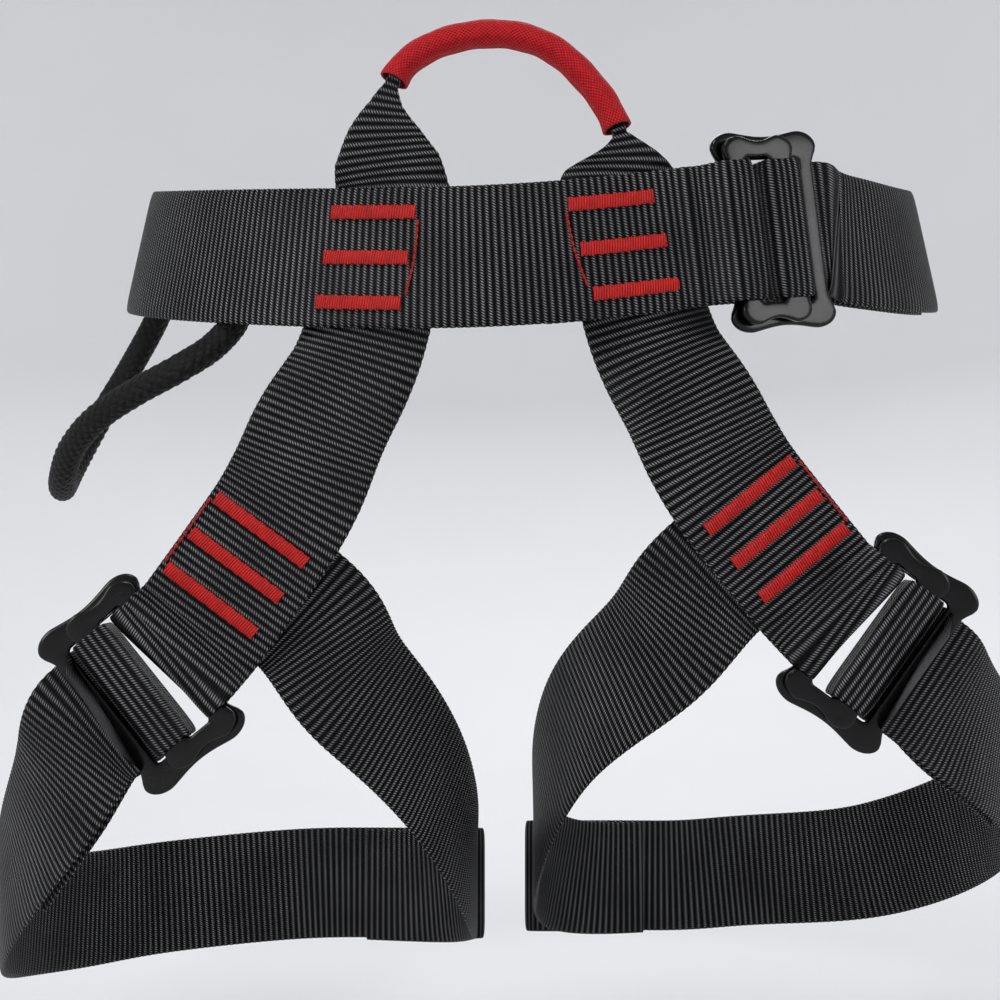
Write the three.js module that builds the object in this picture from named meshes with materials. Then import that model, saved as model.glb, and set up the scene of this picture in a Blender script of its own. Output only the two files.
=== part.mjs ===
// Tree climbing saddle: a half-body sit harness sewn from flat webbing.
//
// Millimetres, +Z up, +X to the wearer's left, +Y to the wearer's back.
// The origin is the centre of the waist belt, where the wearer's hips hold it.
// "Right" and "left" in the names are the wearer's own.

import * as THREE from "three";

// ---- webbing -------------------------------------------------------------------------

const WEB_WIDTH = 45;
const WEB_THICKNESS = 2;
const FIT_GAP = 0.3;                       // between two pieces that touch
const LAYER = WEB_THICKNESS + FIT_GAP;     // from one sewn layer to the next

// ---- the hips: where the belt runs ------------------------------------------------------

const WAIST_HALF_WIDTH_RIGHT = 135;
const WAIST_HALF_WIDTH_LEFT = 155;         // slack webbing stands off the hip here
const WAIST_HALF_DEPTH = 123;
const WAIST_TILT = 0.138;                  // rise of the belt toward the back, mm per mm
const HIP_FLARE_DEG = 13;                  // the hips widen downward at both sides
const BUCKLE_LIFT = 8;                     // the buckle side of the belt is pulled up
const BUCKLE_LIFT_SPREAD_DEG = 24;
const BELT_STEP_DEG = 5;
const BELT_SEWN_DEG = [4, 19];             // the sewn end lies under the left bartacks
const BELT_FRONT_DEG = 20;                 // from here the front runs straight to the buckle
const BELT_HIP_DEG = 46;                   // and the other end runs round the hip from here

// ---- the thighs: where the leg straps run -----------------------------------------------

const THIGH_CENTRE_X = 96.5;
const THIGH_CENTRE_Y = -20;
const THIGH_HALF_WIDTH = 85;
const THIGH_HALF_DEPTH = 90;

const LEG_FRAME_DEG = -5;                  // the sewn front of a leg loop lies flat, facing here

// Stations of a leg strap: degrees round the thigh from its front, positive to the
// inside, the height of the strap's middle, and how far it stands off the thigh.
const LEGS = [
  {
    side: "right",
    sign: -1,
    buckle: { degrees: -14.1, z: -152.5, fall: 39 },
    riserMiddle: { x: 60.5, z: -68 },
    innerRoute: [[31, -152, 0.8], [39, -162], [48, -174], [60, -191], [74, -212], [88, -229]],
    outerRoute: [[-36, -189, 4], [-46, -204, 1.5], [-58, -219], [-72, -234], [-90, -245],
      [-110, -251], [-130, -254], [-150, -254, 2.3]],
    rearZ: -250,
  },
  {
    side: "left",
    sign: 1,
    buckle: { degrees: -15.6, z: -139.2, fall: 36 },
    riserMiddle: { x: 60.5, z: -62 },
    innerRoute: [[31, -139, 0.8], [39, -148], [48, -157], [60, -170], [74, -190], [88, -209]],
    outerRoute: [[-37, -164.5, 4.5], [-48, -174, 2.5], [-60, -183, 1], [-74, -194], [-90, -204],
      [-110, -217], [-130, -230], [-150, -240, 2.3]],
    rearZ: -247,
  },
];
// Behind the thigh the straps run level: the middle of the inner strap, out from between
// the thighs and back from the middle of the body.
const REAR_CORNER = [[12, 12], [14, 36], [21, 54], [36, 65], [56, 68]];
const REAR_LAYER_Y = 68;                   // middle of the innermost layer behind the thigh
const REAR_FOLD_X = 5;                     // the rear strap turns back on itself here
const REAR_HEM_LENGTH = 38;

// ---- two-plate buckles ------------------------------------------------------------------
// Across a buckle, s runs from the sewn side to the adjusting side and h stands off the
// wearer, both from the middle of the strap that the buckle grips.

const PLATE_THICKNESS = 2.6;
const PLATE_BEVEL = 0.6;
const PLATE_GAP = 1.2;                     // lets the front plate tilt on the back one
const TILT_GAP = 1.2;                      // the same, under the sewn webbing
const WINDOW_LENGTH = 47;
const BACK_PLATE = {
  length: 65, fixedBar: [-17.6, -11.6], outerBar: [12.6, 18.6], lobe: 2.4, waist: 1.6, corner: 5,
};
const FRONT_PLATE = {
  length: 61, fixedBar: [-17, -11], outerBar: [-1.6, 7], lobe: 1.5, waist: 1.8, corner: 4.5,
};
const BACK_PLATE_H = WEB_THICKNESS / 2 + FIT_GAP + PLATE_THICKNESS / 2;
const FRONT_PLATE_H = BACK_PLATE_H + PLATE_THICKNESS + PLATE_GAP;
const FOLD_TOP_H = FRONT_PLATE_H + PLATE_THICKNESS / 2 + TILT_GAP + WEB_THICKNESS / 2;
const BIGHT_TOP_H = FRONT_PLATE_H + PLATE_THICKNESS / 2 + FIT_GAP + WEB_THICKNESS / 2;
const BIGHT_OUTER_S = FRONT_PLATE.outerBar[1] + FIT_GAP + WEB_THICKNESS / 2 + 1;
const BIGHT_INNER_S = FRONT_PLATE.outerBar[0] - FIT_GAP - WEB_THICKNESS / 2;
const FOLD_INNER_S = FRONT_PLATE.fixedBar[1] + FIT_GAP + WEB_THICKNESS / 2;
const BIGHT_FOOT_H = 2.2;                  // where the bight meets the strap and the tail
const BEND_RADIUS = 2.2;                   // of webbing bent tight round a bar
const TAIL_LENGTH = 95;
const TAIL_SLACK = 0.65 * WEB_THICKNESS;   // the tail lies loose under its strap
const STRAP_STRAIGHT = 16;                 // a strap runs straight out of its buckle this far

const WAIST_BUCKLE_DEG = 33.4;             // round the belt from the front, to the left
const WAIST_BUCKLE_RISE_DEG = 6;

// ---- risers, tie-in loop and sleeve -------------------------------------------------------

const RISER_CUP_DEG = 34;                  // the riser is still curled where it leaves the fold
const RISER_TOP_X = 37.3;                  // middle of the riser at the belt's top edge
const RISER_BOTTOM_X = 47.4;               // and at its bottom edge
const RISER_BELOW_BELT = 5;
const RISER_FOOT_S = -70;                  // the riser is sewn flat from here on
const RISER_STEER = 0.27;                  // how far the riser leans to the inside of its buckle
const STEER_START_S = -14;                 // where on the buckle's s the lean begins
const STEER_ROUND = 5;
const RISER_MIDDLE_DEPTH = WAIST_HALF_DEPTH - 5.5;  // how far forward it stands, half way down
const RISER_LAYERS = { right: 1, left: 2 };  // layers of the belt in front of each riser
const LOOP_LEAN = 0.1;                     // the loop leans back on the wearer, mm per mm
const LOOP_FOLDED = [4.6, 8.2];            // the folded webbing inside the sleeve
const SLEEVE_WALL = 0.8;
const SLEEVE_INNER = [3.75, 5.8];          // half thickness seen from the front, half depth
const SLEEVE_SIDES = 12;
// The loop's middle line seen from the front: across, height, and the webbing's width and
// thickness there, flat at the belt and folded lengthwise inside the sleeve.
const LOOP_ROUTE = [
  [-37.6, 8.4, 39, WEB_THICKNESS], [-38.6, 16, 34, 2.6], [-39.4, 25.6, 23, 4.4],
  [-38.9, 33.5, 11, 7], [-37.6, 39.5, ...LOOP_FOLDED], [-36, 44, ...LOOP_FOLDED],
  [-29, 50.5, ...LOOP_FOLDED], [-19.1, 55, ...LOOP_FOLDED], [-8, 57.2, ...LOOP_FOLDED],
  [2, 57, ...LOOP_FOLDED], [11, 54.6, ...LOOP_FOLDED], [19, 49.6, ...LOOP_FOLDED],
  [26, 42.2, ...LOOP_FOLDED], [32, 34.4, ...LOOP_FOLDED], [36, 26.6, ...LOOP_FOLDED],
  [37.2, 23.6, ...LOOP_FOLDED], [38, 20.4, 13, 6.4], [38.3, 16.6, 27, 3.6],
  [38, 12.6, 39, WEB_THICKNESS],
];
const SLEEVE_ENDS = [[-36.8, 42], [36.2, 26]];  // across and height of the sleeve's two ends

// ---- stitching -----------------------------------------------------------------------------

const BARTACK_WIDTH = 4.4;
const BARTACK_THICKNESS = 0.9;
const BARTACK_PITCH = 14.5;
const WAIST_BARTACK_LENGTH = 27.5;
const LEG_BARTACK_LENGTH = 35;
const LEG_BARTACK_SHIFT = 2;               // the bars sit nearer the riser's outer edge
const REAR_BARTACK_LENGTH = 30;
const SEAM_WIDTH = 0.8;
const SEAM_THICKNESS = 0.5;
const LEG_BARTACK_S = [-62, -48.5, -35];
const WAIST_BARTACK_INNER_X = { right: -28.6, left: 19.4 };  // inner end of each top bar
const WAIST_BARTACK_STEP_X = { right: -2.3, left: 4 };       // how far each next one moves
const REAR_BARTACK_X = [REAR_FOLD_X + 14, REAR_FOLD_X + 30];
const STITCH_H = WEB_THICKNESS / 2 + FIT_GAP + BARTACK_THICKNESS / 2;
const BARTACK_SIZE = { width: BARTACK_WIDTH, thickness: BARTACK_THICKNESS };
const SEAM_SIZE = { width: SEAM_WIDTH, thickness: SEAM_THICKNESS };

// ---- gear loop ------------------------------------------------------------------------------

const GEAR_CORD_DIAMETER = 9.5;
const GEAR_CORD_SLACK = 0.18 * GEAR_CORD_DIAMETER;  // off the belt, so that the cord can turn
const GEAR_CORD_ENDS_DEG = [-43, -98];       // where its two ends are sewn in behind the belt
const GEAR_CORD_ROUTE = [
  [-97.5, -87, -42], [-108, -91.5, -49.5], [-124, -86, -57.5], [-139, -76, -66],
  [-149.5, -64, -75.5], [-155.5, -50, -84.5], [-159, -34, -89], [-161, -16, -86],
  [-159, -1, -76], [-153, 10, -61], [-144, 16, -44],
];
const GEAR_CORD_STEPS = 44;
const GEAR_CORD_SIDES = 10;

// ---- materials --------------------------------------------------------------------------------

const finish = (color, roughness, metalness) => ({ color, roughness, metalness });
const BLACK_WEBBING = finish(0x151516, 0.75, 0);
const RED_THREAD = finish(0xd7231e, 0.6, 0);
const RED_SLEEVE = finish(0xd21e23, 0.8, 0);
const BLACK_STEEL = finish(0x101113, 0.35, 0.6);
const BLACK_CORD = finish(0x1b1b1c, 0.85, 0);

// ---- small helpers ------------------------------------------------------------------------------

const UP = new THREE.Vector3(0, 0, 1);
const rad = THREE.MathUtils.degToRad;
const vec = (x, y, z) => new THREE.Vector3(x, y, z);
const mix = THREE.MathUtils.lerp;

const saddle = new THREE.Group();

function addMesh(name, geometry, look) {
  const mesh = new THREE.Mesh(geometry, new THREE.MeshStandardMaterial(look));
  mesh.name = name;
  saddle.add(mesh);
  return mesh;
}

// Six times the volume inside a closed triangle mesh, to tell which way it faces.
function signedVolume(points, triangles) {
  let sum = 0;
  for (const [a, b, c] of triangles) {
    sum += points[a].dot(points[b].clone().cross(points[c]));
  }
  return sum;
}

// Two triangles for a warped quad, split on its outward diagonal, so that the facing sides
// of two layers of webbing stay parallel.
function splitQuad(points, a, b, c, d) {
  const reach = (p, q) => points[p].clone().add(points[q]).lengthSq();
  if (reach(a, c) > reach(b, d)) return [[a, b, c], [a, c, d]];
  return [[a, b, d], [b, c, d]];
}

// A closed mesh, turned so that its faces point out.
function closedGeometry(points, triangles) {
  if (signedVolume(points, triangles) < 0) triangles.forEach((triangle) => triangle.reverse());
  const geometry = new THREE.BufferGeometry();
  const numbers = points.flatMap((point) => point.toArray());
  geometry.setAttribute("position", new THREE.Float32BufferAttribute(numbers, 3));
  geometry.setIndex(triangles.flat());
  geometry.computeVertexNormals();
  return geometry;
}

// A flat strip swept along stations { p, n }: p is the middle of the webbing and n points
// out of its outer face. Each may set w (width), t (thickness) and cup (half the angle, in
// radians, that the webbing curls round its length, its edges toward the wearer).
function stripGeometry(stations, { width = WEB_WIDTH, thickness = WEB_THICKNESS, across = 1 } = {}) {
  const points = [];
  const last = stations.length - 1;
  stations.forEach((station, i) => {
    const ahead = stations[Math.min(i + 1, last)].p;
    const behind = stations[Math.max(i - 1, 0)].p;
    const along = (station.along ?? ahead.clone().sub(behind)).clone().normalize();
    const side = along.clone().cross(station.n).normalize();
    const out = side.clone().cross(along).normalize();
    const halfWidth = (station.w ?? width) / 2;
    const halfThickness = (station.t ?? thickness) / 2;
    const curl = station.cup ?? 0;
    const section = (u, face) => {
      const angle = u * curl;
      const radius = curl > 1e-4 ? halfWidth / curl : 0;
      const shift = curl > 1e-4 ? radius * Math.sin(angle) : u * halfWidth;
      const sink = curl > 1e-4 ? radius * (Math.cos(angle) - 1) : 0;
      const normal = out.clone().multiplyScalar(Math.cos(angle)).addScaledVector(side, Math.sin(angle));
      return station.p.clone().addScaledVector(side, shift).addScaledVector(out, sink)
        .addScaledVector(normal, face * halfThickness);
    };
    for (let j = 0; j <= across; j += 1) points.push(section(-1 + (2 * j) / across, 1));
    for (let j = across; j >= 0; j -= 1) points.push(section(-1 + (2 * j) / across, -1));
  });

  const ring = 2 * (across + 1);
  const triangles = [];
  for (let i = 0; i < last; i += 1) {
    for (let j = 0; j < ring; j += 1) {
      const a = i * ring + j;
      const b = i * ring + ((j + 1) % ring);
      triangles.push(...splitQuad(points, a, b, b + ring, a + ring));
    }
  }
  for (const [start, turn] of [[0, 1], [last * ring, -1]]) {
    for (let j = 0; j < across; j += 1) {
      const quad = [start + j, start + j + 1, start + ring - 2 - j, start + ring - 1 - j];
      const order = turn > 0 ? [quad[3], quad[2], quad[1], quad[0]] : quad;
      triangles.push([order[0], order[1], order[2]], [order[0], order[2], order[3]]);
    }
  }
  return closedGeometry(points, triangles);
}

// Even steps along a smooth curve through stations, carrying every number that they hold.
function resample(stations, step) {
  const curve = new THREE.CatmullRomCurve3(stations.map((s) => s.p), false, "centripetal");
  const count = Math.max(2, Math.round(curve.getLength() / step));
  const samples = [];
  for (let i = 0; i <= count; i += 1) {
    const t = curve.getUtoTmapping(i / count);
    const place = t * (stations.length - 1);
    const k = Math.min(Math.floor(place), stations.length - 2);
    const f = place - k;
    const from = stations[k];
    const to = stations[k + 1];
    const blend = (key, base) => mix(from[key] ?? base, to[key] ?? base, f);
    samples.push({
      p: curve.getPoint(t),
      n: from.n.clone().lerp(to.n, f).normalize(),
      w: blend("w", WEB_WIDTH),
      t: blend("t", WEB_THICKNESS),
      cup: blend("cup", 0),
    });
  }
  return samples;
}

// ---- the wearer's form ---------------------------------------------------------------------------

// A place on the belt: degrees round from the front toward the wearer's left, offset inward
// (negative) or outward, and a height above the middle of the webbing.
function onBelt(degrees, offset = 0, height = 0) {
  const t = rad(degrees);
  const wrapped = Math.atan2(Math.sin(t), Math.cos(t));
  const halfWidth = wrapped < 0 ? WAIST_HALF_WIDTH_RIGHT : WAIST_HALF_WIDTH_LEFT;
  const x = halfWidth * Math.sin(t);
  const y = -WAIST_HALF_DEPTH * Math.cos(t);
  const spread = (THREE.MathUtils.radToDeg(wrapped) - WAIST_BUCKLE_DEG) / BUCKLE_LIFT_SPREAD_DEG;
  const z = WAIST_TILT * y + BUCKLE_LIFT * Math.exp(-spread * spread);
  const flare = rad(HIP_FLARE_DEG) * Math.sin(t) ** 2;
  const level = vec(Math.sin(t) / halfWidth, -Math.cos(t) / WAIST_HALF_DEPTH, 0).normalize();
  const n = level.clone().multiplyScalar(Math.cos(flare)).addScaledVector(UP, Math.sin(flare));
  const across = UP.clone().multiplyScalar(Math.cos(flare)).addScaledVector(level, -Math.sin(flare));
  return { p: vec(x, y, z).addScaledVector(n, offset).addScaledVector(across, height), n, across };
}

// Degrees round the belt of the place that lies x across from the middle of the front.
function beltDegreesAt(x) {
  const halfWidth = x < 0 ? WAIST_HALF_WIDTH_RIGHT : WAIST_HALF_WIDTH_LEFT;
  return THREE.MathUtils.radToDeg(Math.asin(x / halfWidth));
}

// A place on a thigh, its angle from the front toward the crotch.
function onThigh(leg, degrees, z, offset = 0) {
  const t = rad(degrees);
  const n = vec(-leg.sign * Math.sin(t) / THIGH_HALF_WIDTH, -Math.cos(t) / THIGH_HALF_DEPTH, 0).normalize();
  const x = leg.sign * (THIGH_CENTRE_X - THIGH_HALF_WIDTH * Math.sin(t));
  const y = THIGH_CENTRE_Y - THIGH_HALF_DEPTH * Math.cos(t);
  return { p: vec(x, y, z).addScaledVector(n, offset), n };
}

// ---- buckles ----------------------------------------------------------------------------------------

// A buckle's own frame: s along the strap, a across it, h off the wearer.
function buckleFrame(origin, out, alongStrap) {
  const h = out.clone().normalize();
  const a = h.clone().cross(alongStrap).normalize();
  const s = a.clone().cross(h).normalize();
  const at = (sValue, aValue, hValue) => origin.clone().addScaledVector(s, sValue)
    .addScaledVector(a, aValue).addScaledVector(h, hValue);
  return { s, a, h, at, matrix: new THREE.Matrix4().makeBasis(s, a, h).setPosition(origin) };
}

// Outline of a plate with a rounded lobe at each corner and a shallow waist at each end.
function plateOutline(plate) {
  const { length, fixedBar, outerBar, lobe, waist, corner } = plate;
  const low = fixedBar[0];
  const high = outerBar[1];
  const end = length / 2;
  const neck = end - 1.9 * corner;
  const middle = (low + high) / 2;
  const outline = new THREE.Shape();
  outline.moveTo(low, -neck);
  for (const [from, to, tip] of [[low, high, -1], [high, low, 1]]) {
    const out = Math.sign(to - from);
    const left = from - out * lobe;
    const right = to + out * lobe;
    outline.quadraticCurveTo(left, tip * (neck + 0.35 * corner), left, tip * (end - corner));
    outline.quadraticCurveTo(left, tip * end, left + out * corner, tip * end);
    outline.quadraticCurveTo(middle, tip * (end - 2 * waist), right - out * corner, tip * end);
    outline.quadraticCurveTo(right, tip * end, right, tip * (end - corner));
    outline.quadraticCurveTo(right, tip * (neck + 0.35 * corner), to, tip * neck);
    if (tip < 0) outline.lineTo(to, neck);
  }
  outline.closePath();
  const window = new THREE.Path();
  const inner = [fixedBar[1], outerBar[0]];
  const half = WINDOW_LENGTH / 2;
  const round = 1.6;
  window.moveTo(inner[0] + round, -half);
  window.quadraticCurveTo(inner[0], -half, inner[0], -half + round);
  window.lineTo(inner[0], half - round);
  window.quadraticCurveTo(inner[0], half, inner[0] + round, half);
  window.lineTo(inner[1] - round, half);
  window.quadraticCurveTo(inner[1], half, inner[1], half - round);
  window.lineTo(inner[1], -half + round);
  window.quadraticCurveTo(inner[1], -half, inner[1] - round, -half);
  window.closePath();
  outline.holes.push(window);
  return outline;
}

function addPlate(name, plate, frame, height) {
  const geometry = new THREE.ExtrudeGeometry(plateOutline(plate), {
    depth: PLATE_THICKNESS - 2 * PLATE_BEVEL,
    steps: 1,
    curveSegments: 4,
    bevelEnabled: true,
    bevelThickness: PLATE_BEVEL,
    bevelSize: PLATE_BEVEL,
    bevelOffset: -PLATE_BEVEL,
    bevelSegments: 1,
  });
  geometry.translate(0, 0, height - (PLATE_THICKNESS - 2 * PLATE_BEVEL) / 2);
  const mesh = addMesh(name, geometry, BLACK_STEEL);
  mesh.applyMatrix4(frame.matrix);
}

// Stations for webbing that bends in the s-h plane of a buckle, with rounded corners.
// Each corner is [s, h]; sideways(s) shifts the webbing across the buckle.
function bentStations(frame, corners, sideways = () => 0, step = 4) {
  const path = new THREE.Path();
  path.moveTo(...corners[0]);
  for (let i = 1; i < corners.length - 1; i += 1) {
    const here = new THREE.Vector2(...corners[i]);
    const before = new THREE.Vector2(...corners[i - 1]).sub(here);
    const after = new THREE.Vector2(...corners[i + 1]).sub(here);
    const cut = Math.min(corners[i][2] ?? BEND_RADIUS, before.length() / 2.02, after.length() / 2.02);
    const enter = here.clone().addScaledVector(before.normalize(), cut);
    const leave = here.clone().addScaledVector(after.normalize(), cut);
    path.lineTo(enter.x, enter.y);
    path.quadraticCurveTo(here.x, here.y, leave.x, leave.y);
  }
  path.lineTo(...corners[corners.length - 1].slice(0, 2));
  const flat = [];
  for (const piece of path.curves) {
    const count = piece.isLineCurve ? Math.max(1, Math.round(piece.getLength() / step)) : 4;
    for (let i = flat.length ? 1 : 0; i <= count; i += 1) {
      flat.push({ at: piece.getPoint(i / count), along: piece.getTangent(i / count) });
    }
  }
  return flat.map(({ at, along }) => ({
    p: frame.at(at.x, sideways(at.x), at.y),
    n: frame.h.clone().multiplyScalar(along.x).addScaledVector(frame.s, -along.y),
  }));
}

// The strap that a buckle grips comes in under the back plate's outer bar and turns up.
const STRAP_INTO_BUCKLE = [
  [BIGHT_OUTER_S + STRAP_STRAIGHT, 0], [BIGHT_OUTER_S, 0], [BIGHT_OUTER_S, BIGHT_FOOT_H],
];
const BIGHT_ROUND_BAR = [
  [BIGHT_OUTER_S, BIGHT_FOOT_H + FIT_GAP], [BIGHT_OUTER_S, BIGHT_TOP_H],
  [BIGHT_INNER_S, BIGHT_TOP_H], [BIGHT_INNER_S, BIGHT_FOOT_H + FIT_GAP],
];
const TAIL_OUT_OF_BUCKLE = [
  [BIGHT_INNER_S, BIGHT_FOOT_H], [BIGHT_INNER_S, -LAYER - TAIL_SLACK],
  [BIGHT_OUTER_S + STRAP_STRAIGHT / 2, -LAYER - TAIL_SLACK],
];

// Both plates, the bight and the first stretch of the tail, for any of the three buckles.
function addBuckle(prefix, frame, strapName) {
  addPlate(`${prefix}_back_plate`, BACK_PLATE, frame, BACK_PLATE_H);
  addPlate(`${prefix}_front_plate`, FRONT_PLATE, frame, FRONT_PLATE_H);
  const bight = bentStations(frame, BIGHT_ROUND_BAR);
  addMesh(`${strapName}_bight`, stripGeometry(bight), BLACK_WEBBING);
}

// ---- waist belt ------------------------------------------------------------------------------------

function waistBuckleFrame() {
  const spot = onBelt(WAIST_BUCKLE_DEG);
  const ahead = onBelt(WAIST_BUCKLE_DEG + 1).p.sub(onBelt(WAIST_BUCKLE_DEG - 1).p).setZ(0);
  const rise = Math.tan(rad(WAIST_BUCKLE_RISE_DEG));
  return buckleFrame(spot.p, spot.n, ahead.normalize().addScaledVector(UP, rise));
}

const inward = ({ p, n }) => ({ p, n: n.clone().negate() });

function degreesList(from, to, step) {
  const count = Math.max(1, Math.round(Math.abs(to - from) / step));
  return Array.from({ length: count + 1 }, (_, i) => mix(from, to, i / count));
}

// One webbing: from its sewn end to the bars, round them, over the front, round the right
// hip, the back and the left hip, and in under the back plate.
function addWaistBelt() {
  const frame = waistBuckleFrame();
  const edge = FRONT_PLATE.fixedBar[0];
  const sewnEnd = degreesList(...BELT_SEWN_DEG, BELT_STEP_DEG).map((d) => onBelt(d, -LAYER));
  const roundBars = bentStations(frame, [
    [edge - 10, 0], [FOLD_INNER_S, 0], [FOLD_INNER_S, FOLD_TOP_H], [edge - 2.5, FOLD_TOP_H, 3],
    [edge - 8, 0.9, 3], [edge - 12, 0.3],
  ]);
  const half = BELT_STEP_DEG / 2;
  const overFront = degreesList(BELT_FRONT_DEG, half - 180, BELT_STEP_DEG).map((d) => inward(onBelt(d)));
  const overHip = degreesList(180 - half, BELT_HIP_DEG, BELT_STEP_DEG).map((d) => inward(onBelt(d)));
  const intoBuckle = bentStations(frame, STRAP_INTO_BUCKLE);
  const belt = [...sewnEnd, ...roundBars, ...overFront, ...overHip, ...intoBuckle];
  addMesh("waist_belt_webbing", stripGeometry(belt), BLACK_WEBBING);
  addBuckle("waist_buckle", frame, "waist_belt");
  const tail = [
    ...bentStations(frame, TAIL_OUT_OF_BUCKLE),
    ...layerBelow([...overHip, ...intoBuckle.slice(0, 3)].reverse().map(inward)).slice(2),
  ];
  addMesh("waist_belt_tail", stripGeometry(trimmed(tail, TAIL_LENGTH)), BLACK_WEBBING);
}

// A loose layer under the stations, nearer the wearer and square to the run of the webbing.
function layerBelow(stations) {
  return stations.map(({ p, n }, i) => {
    const ahead = stations[Math.min(i + 1, stations.length - 1)].p;
    const along = ahead.clone().sub(stations[Math.max(i - 1, 0)].p).normalize();
    const out = n.clone().addScaledVector(along, -n.dot(along)).normalize();
    return { p: p.clone().addScaledVector(out, -LAYER - TAIL_SLACK), n };
  });
}

// The first stretch of a row of stations, of the given length.
function trimmed(stations, length) {
  const kept = [stations[0]];
  let left = length;
  for (let i = 1; i < stations.length; i += 1) {
    const leg = stations[i].p.distanceTo(stations[i - 1].p);
    if (leg >= left) {
      const f = left / leg;
      kept.push({
        p: stations[i - 1].p.clone().lerp(stations[i].p, f),
        n: stations[i - 1].n.clone().lerp(stations[i].n, f).normalize(),
      });
      return kept;
    }
    left -= leg;
    kept.push(stations[i]);
  }
  return kept;
}

// ---- risers ------------------------------------------------------------------------------------------

// The riser behind the belt, at a height above the belt's middle.
function riserAtBelt(leg, height) {
  const down = 0.5 - height / WEB_WIDTH;
  const x = leg.sign * mix(RISER_TOP_X, RISER_BOTTOM_X, down);
  const place = onBelt(beltDegreesAt(x), -RISER_LAYERS[leg.side] * LAYER, height);
  return { p: place.p, n: place.n, cup: rad(RISER_CUP_DEG) };
}

function legFrame(leg) {
  const { degrees, z, fall } = leg.buckle;
  const along = vec(leg.sign * Math.cos(rad(fall)), 0, -Math.sin(rad(fall)));
  return buckleFrame(onThigh(leg, degrees, z).p, onThigh(leg, LEG_FRAME_DEG, z).n, along);
}

// The riser bends a little in its own plane between the stitching and the buckle.
function steer(leg, s) {
  const d = Math.max(0, STEER_START_S - s);
  return leg.sign * RISER_STEER * d * d / (d + STEER_ROUND);
}

function steerSlope(leg, s) {
  return (steer(leg, s + 0.5) - steer(leg, s - 0.5));
}

// A place a across the riser from its middle at s, and h off the buckle's own plane.
function acrossRiser(leg, frame, s, a, h) {
  const across = leg.sign * a;
  const p = frame.at(s - steerSlope(leg, s) * across, steer(leg, s) + across, h);
  return { p, n: frame.h.clone() };
}

function addRiser(leg) {
  const frame = legFrame(leg);
  const across = 6;
  const top = WEB_WIDTH / 2;
  const foot = -top - RISER_BELOW_BELT;
  const behind = degreesList(top, foot, 9).map((height) => riserAtBelt(leg, height));
  behind[0].along = UP.clone().negate();
  addMesh(`${leg.side}_riser_behind_belt`, stripGeometry(behind, { across }), BLACK_WEBBING);

  const sewn = (s) => ({ p: frame.at(s, steer(leg, s), LAYER), n: frame.h.clone(), cup: 0 });
  const sewnAlong = frame.s.clone().addScaledVector(frame.a, steerSlope(leg, RISER_FOOT_S));
  const middle = vec(leg.sign * leg.riserMiddle.x, -RISER_MIDDLE_DEPTH, leg.riserMiddle.z);
  const hanging = resample([
    riserAtBelt(leg, foot - 4 * FIT_GAP),
    riserAtBelt(leg, foot - 8),
    { p: middle, n: vec(0, -1, 0), cup: rad(0.6 * RISER_CUP_DEG) },
    sewn(RISER_FOOT_S - 8),
    sewn(RISER_FOOT_S - FIT_GAP),
  ], 6);
  hanging.at(-1).along = sewnAlong;
  addMesh(`${leg.side}_riser`, stripGeometry(hanging, { across }), BLACK_WEBBING);

  const edge = FRONT_PLATE.fixedBar[0];
  const fold = bentStations(frame, [
    [RISER_FOOT_S, LAYER], [edge - 8, LAYER, 3], [edge - 2.5, FOLD_TOP_H, 3],
    [FOLD_INNER_S, FOLD_TOP_H], [FOLD_INNER_S, 0], [RISER_FOOT_S + 3, 0],
  ], (s) => steer(leg, s), 7);
  fold[0].along = sewnAlong;
  addMesh(`${leg.side}_riser_fold`, stripGeometry(fold), BLACK_WEBBING);
}

// ---- leg straps --------------------------------------------------------------------------------------

// A place behind the thigh, its outer face turned away from the thigh's middle.
function behindThigh(leg, x, y, z) {
  return { p: vec(leg.sign * x, y, z), n: null };
}

// Fills in the outward direction of places that have none, square to the route in plan.
function faceOutward(leg, stations) {
  const centre = vec(leg.sign * THIGH_CENTRE_X, THIGH_CENTRE_Y, 0);
  stations.forEach((station, i) => {
    if (station.n) return;
    const ahead = stations[Math.min(i + 1, stations.length - 1)].p;
    const along = ahead.clone().sub(stations[Math.max(i - 1, 0)].p).setZ(0).normalize();
    const n = vec(along.y, -along.x, 0);
    const away = station.p.clone().sub(centre).setZ(0);
    station.n = n.dot(away) < 0 ? n.negate() : n;
  });
  return stations;
}

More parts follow.
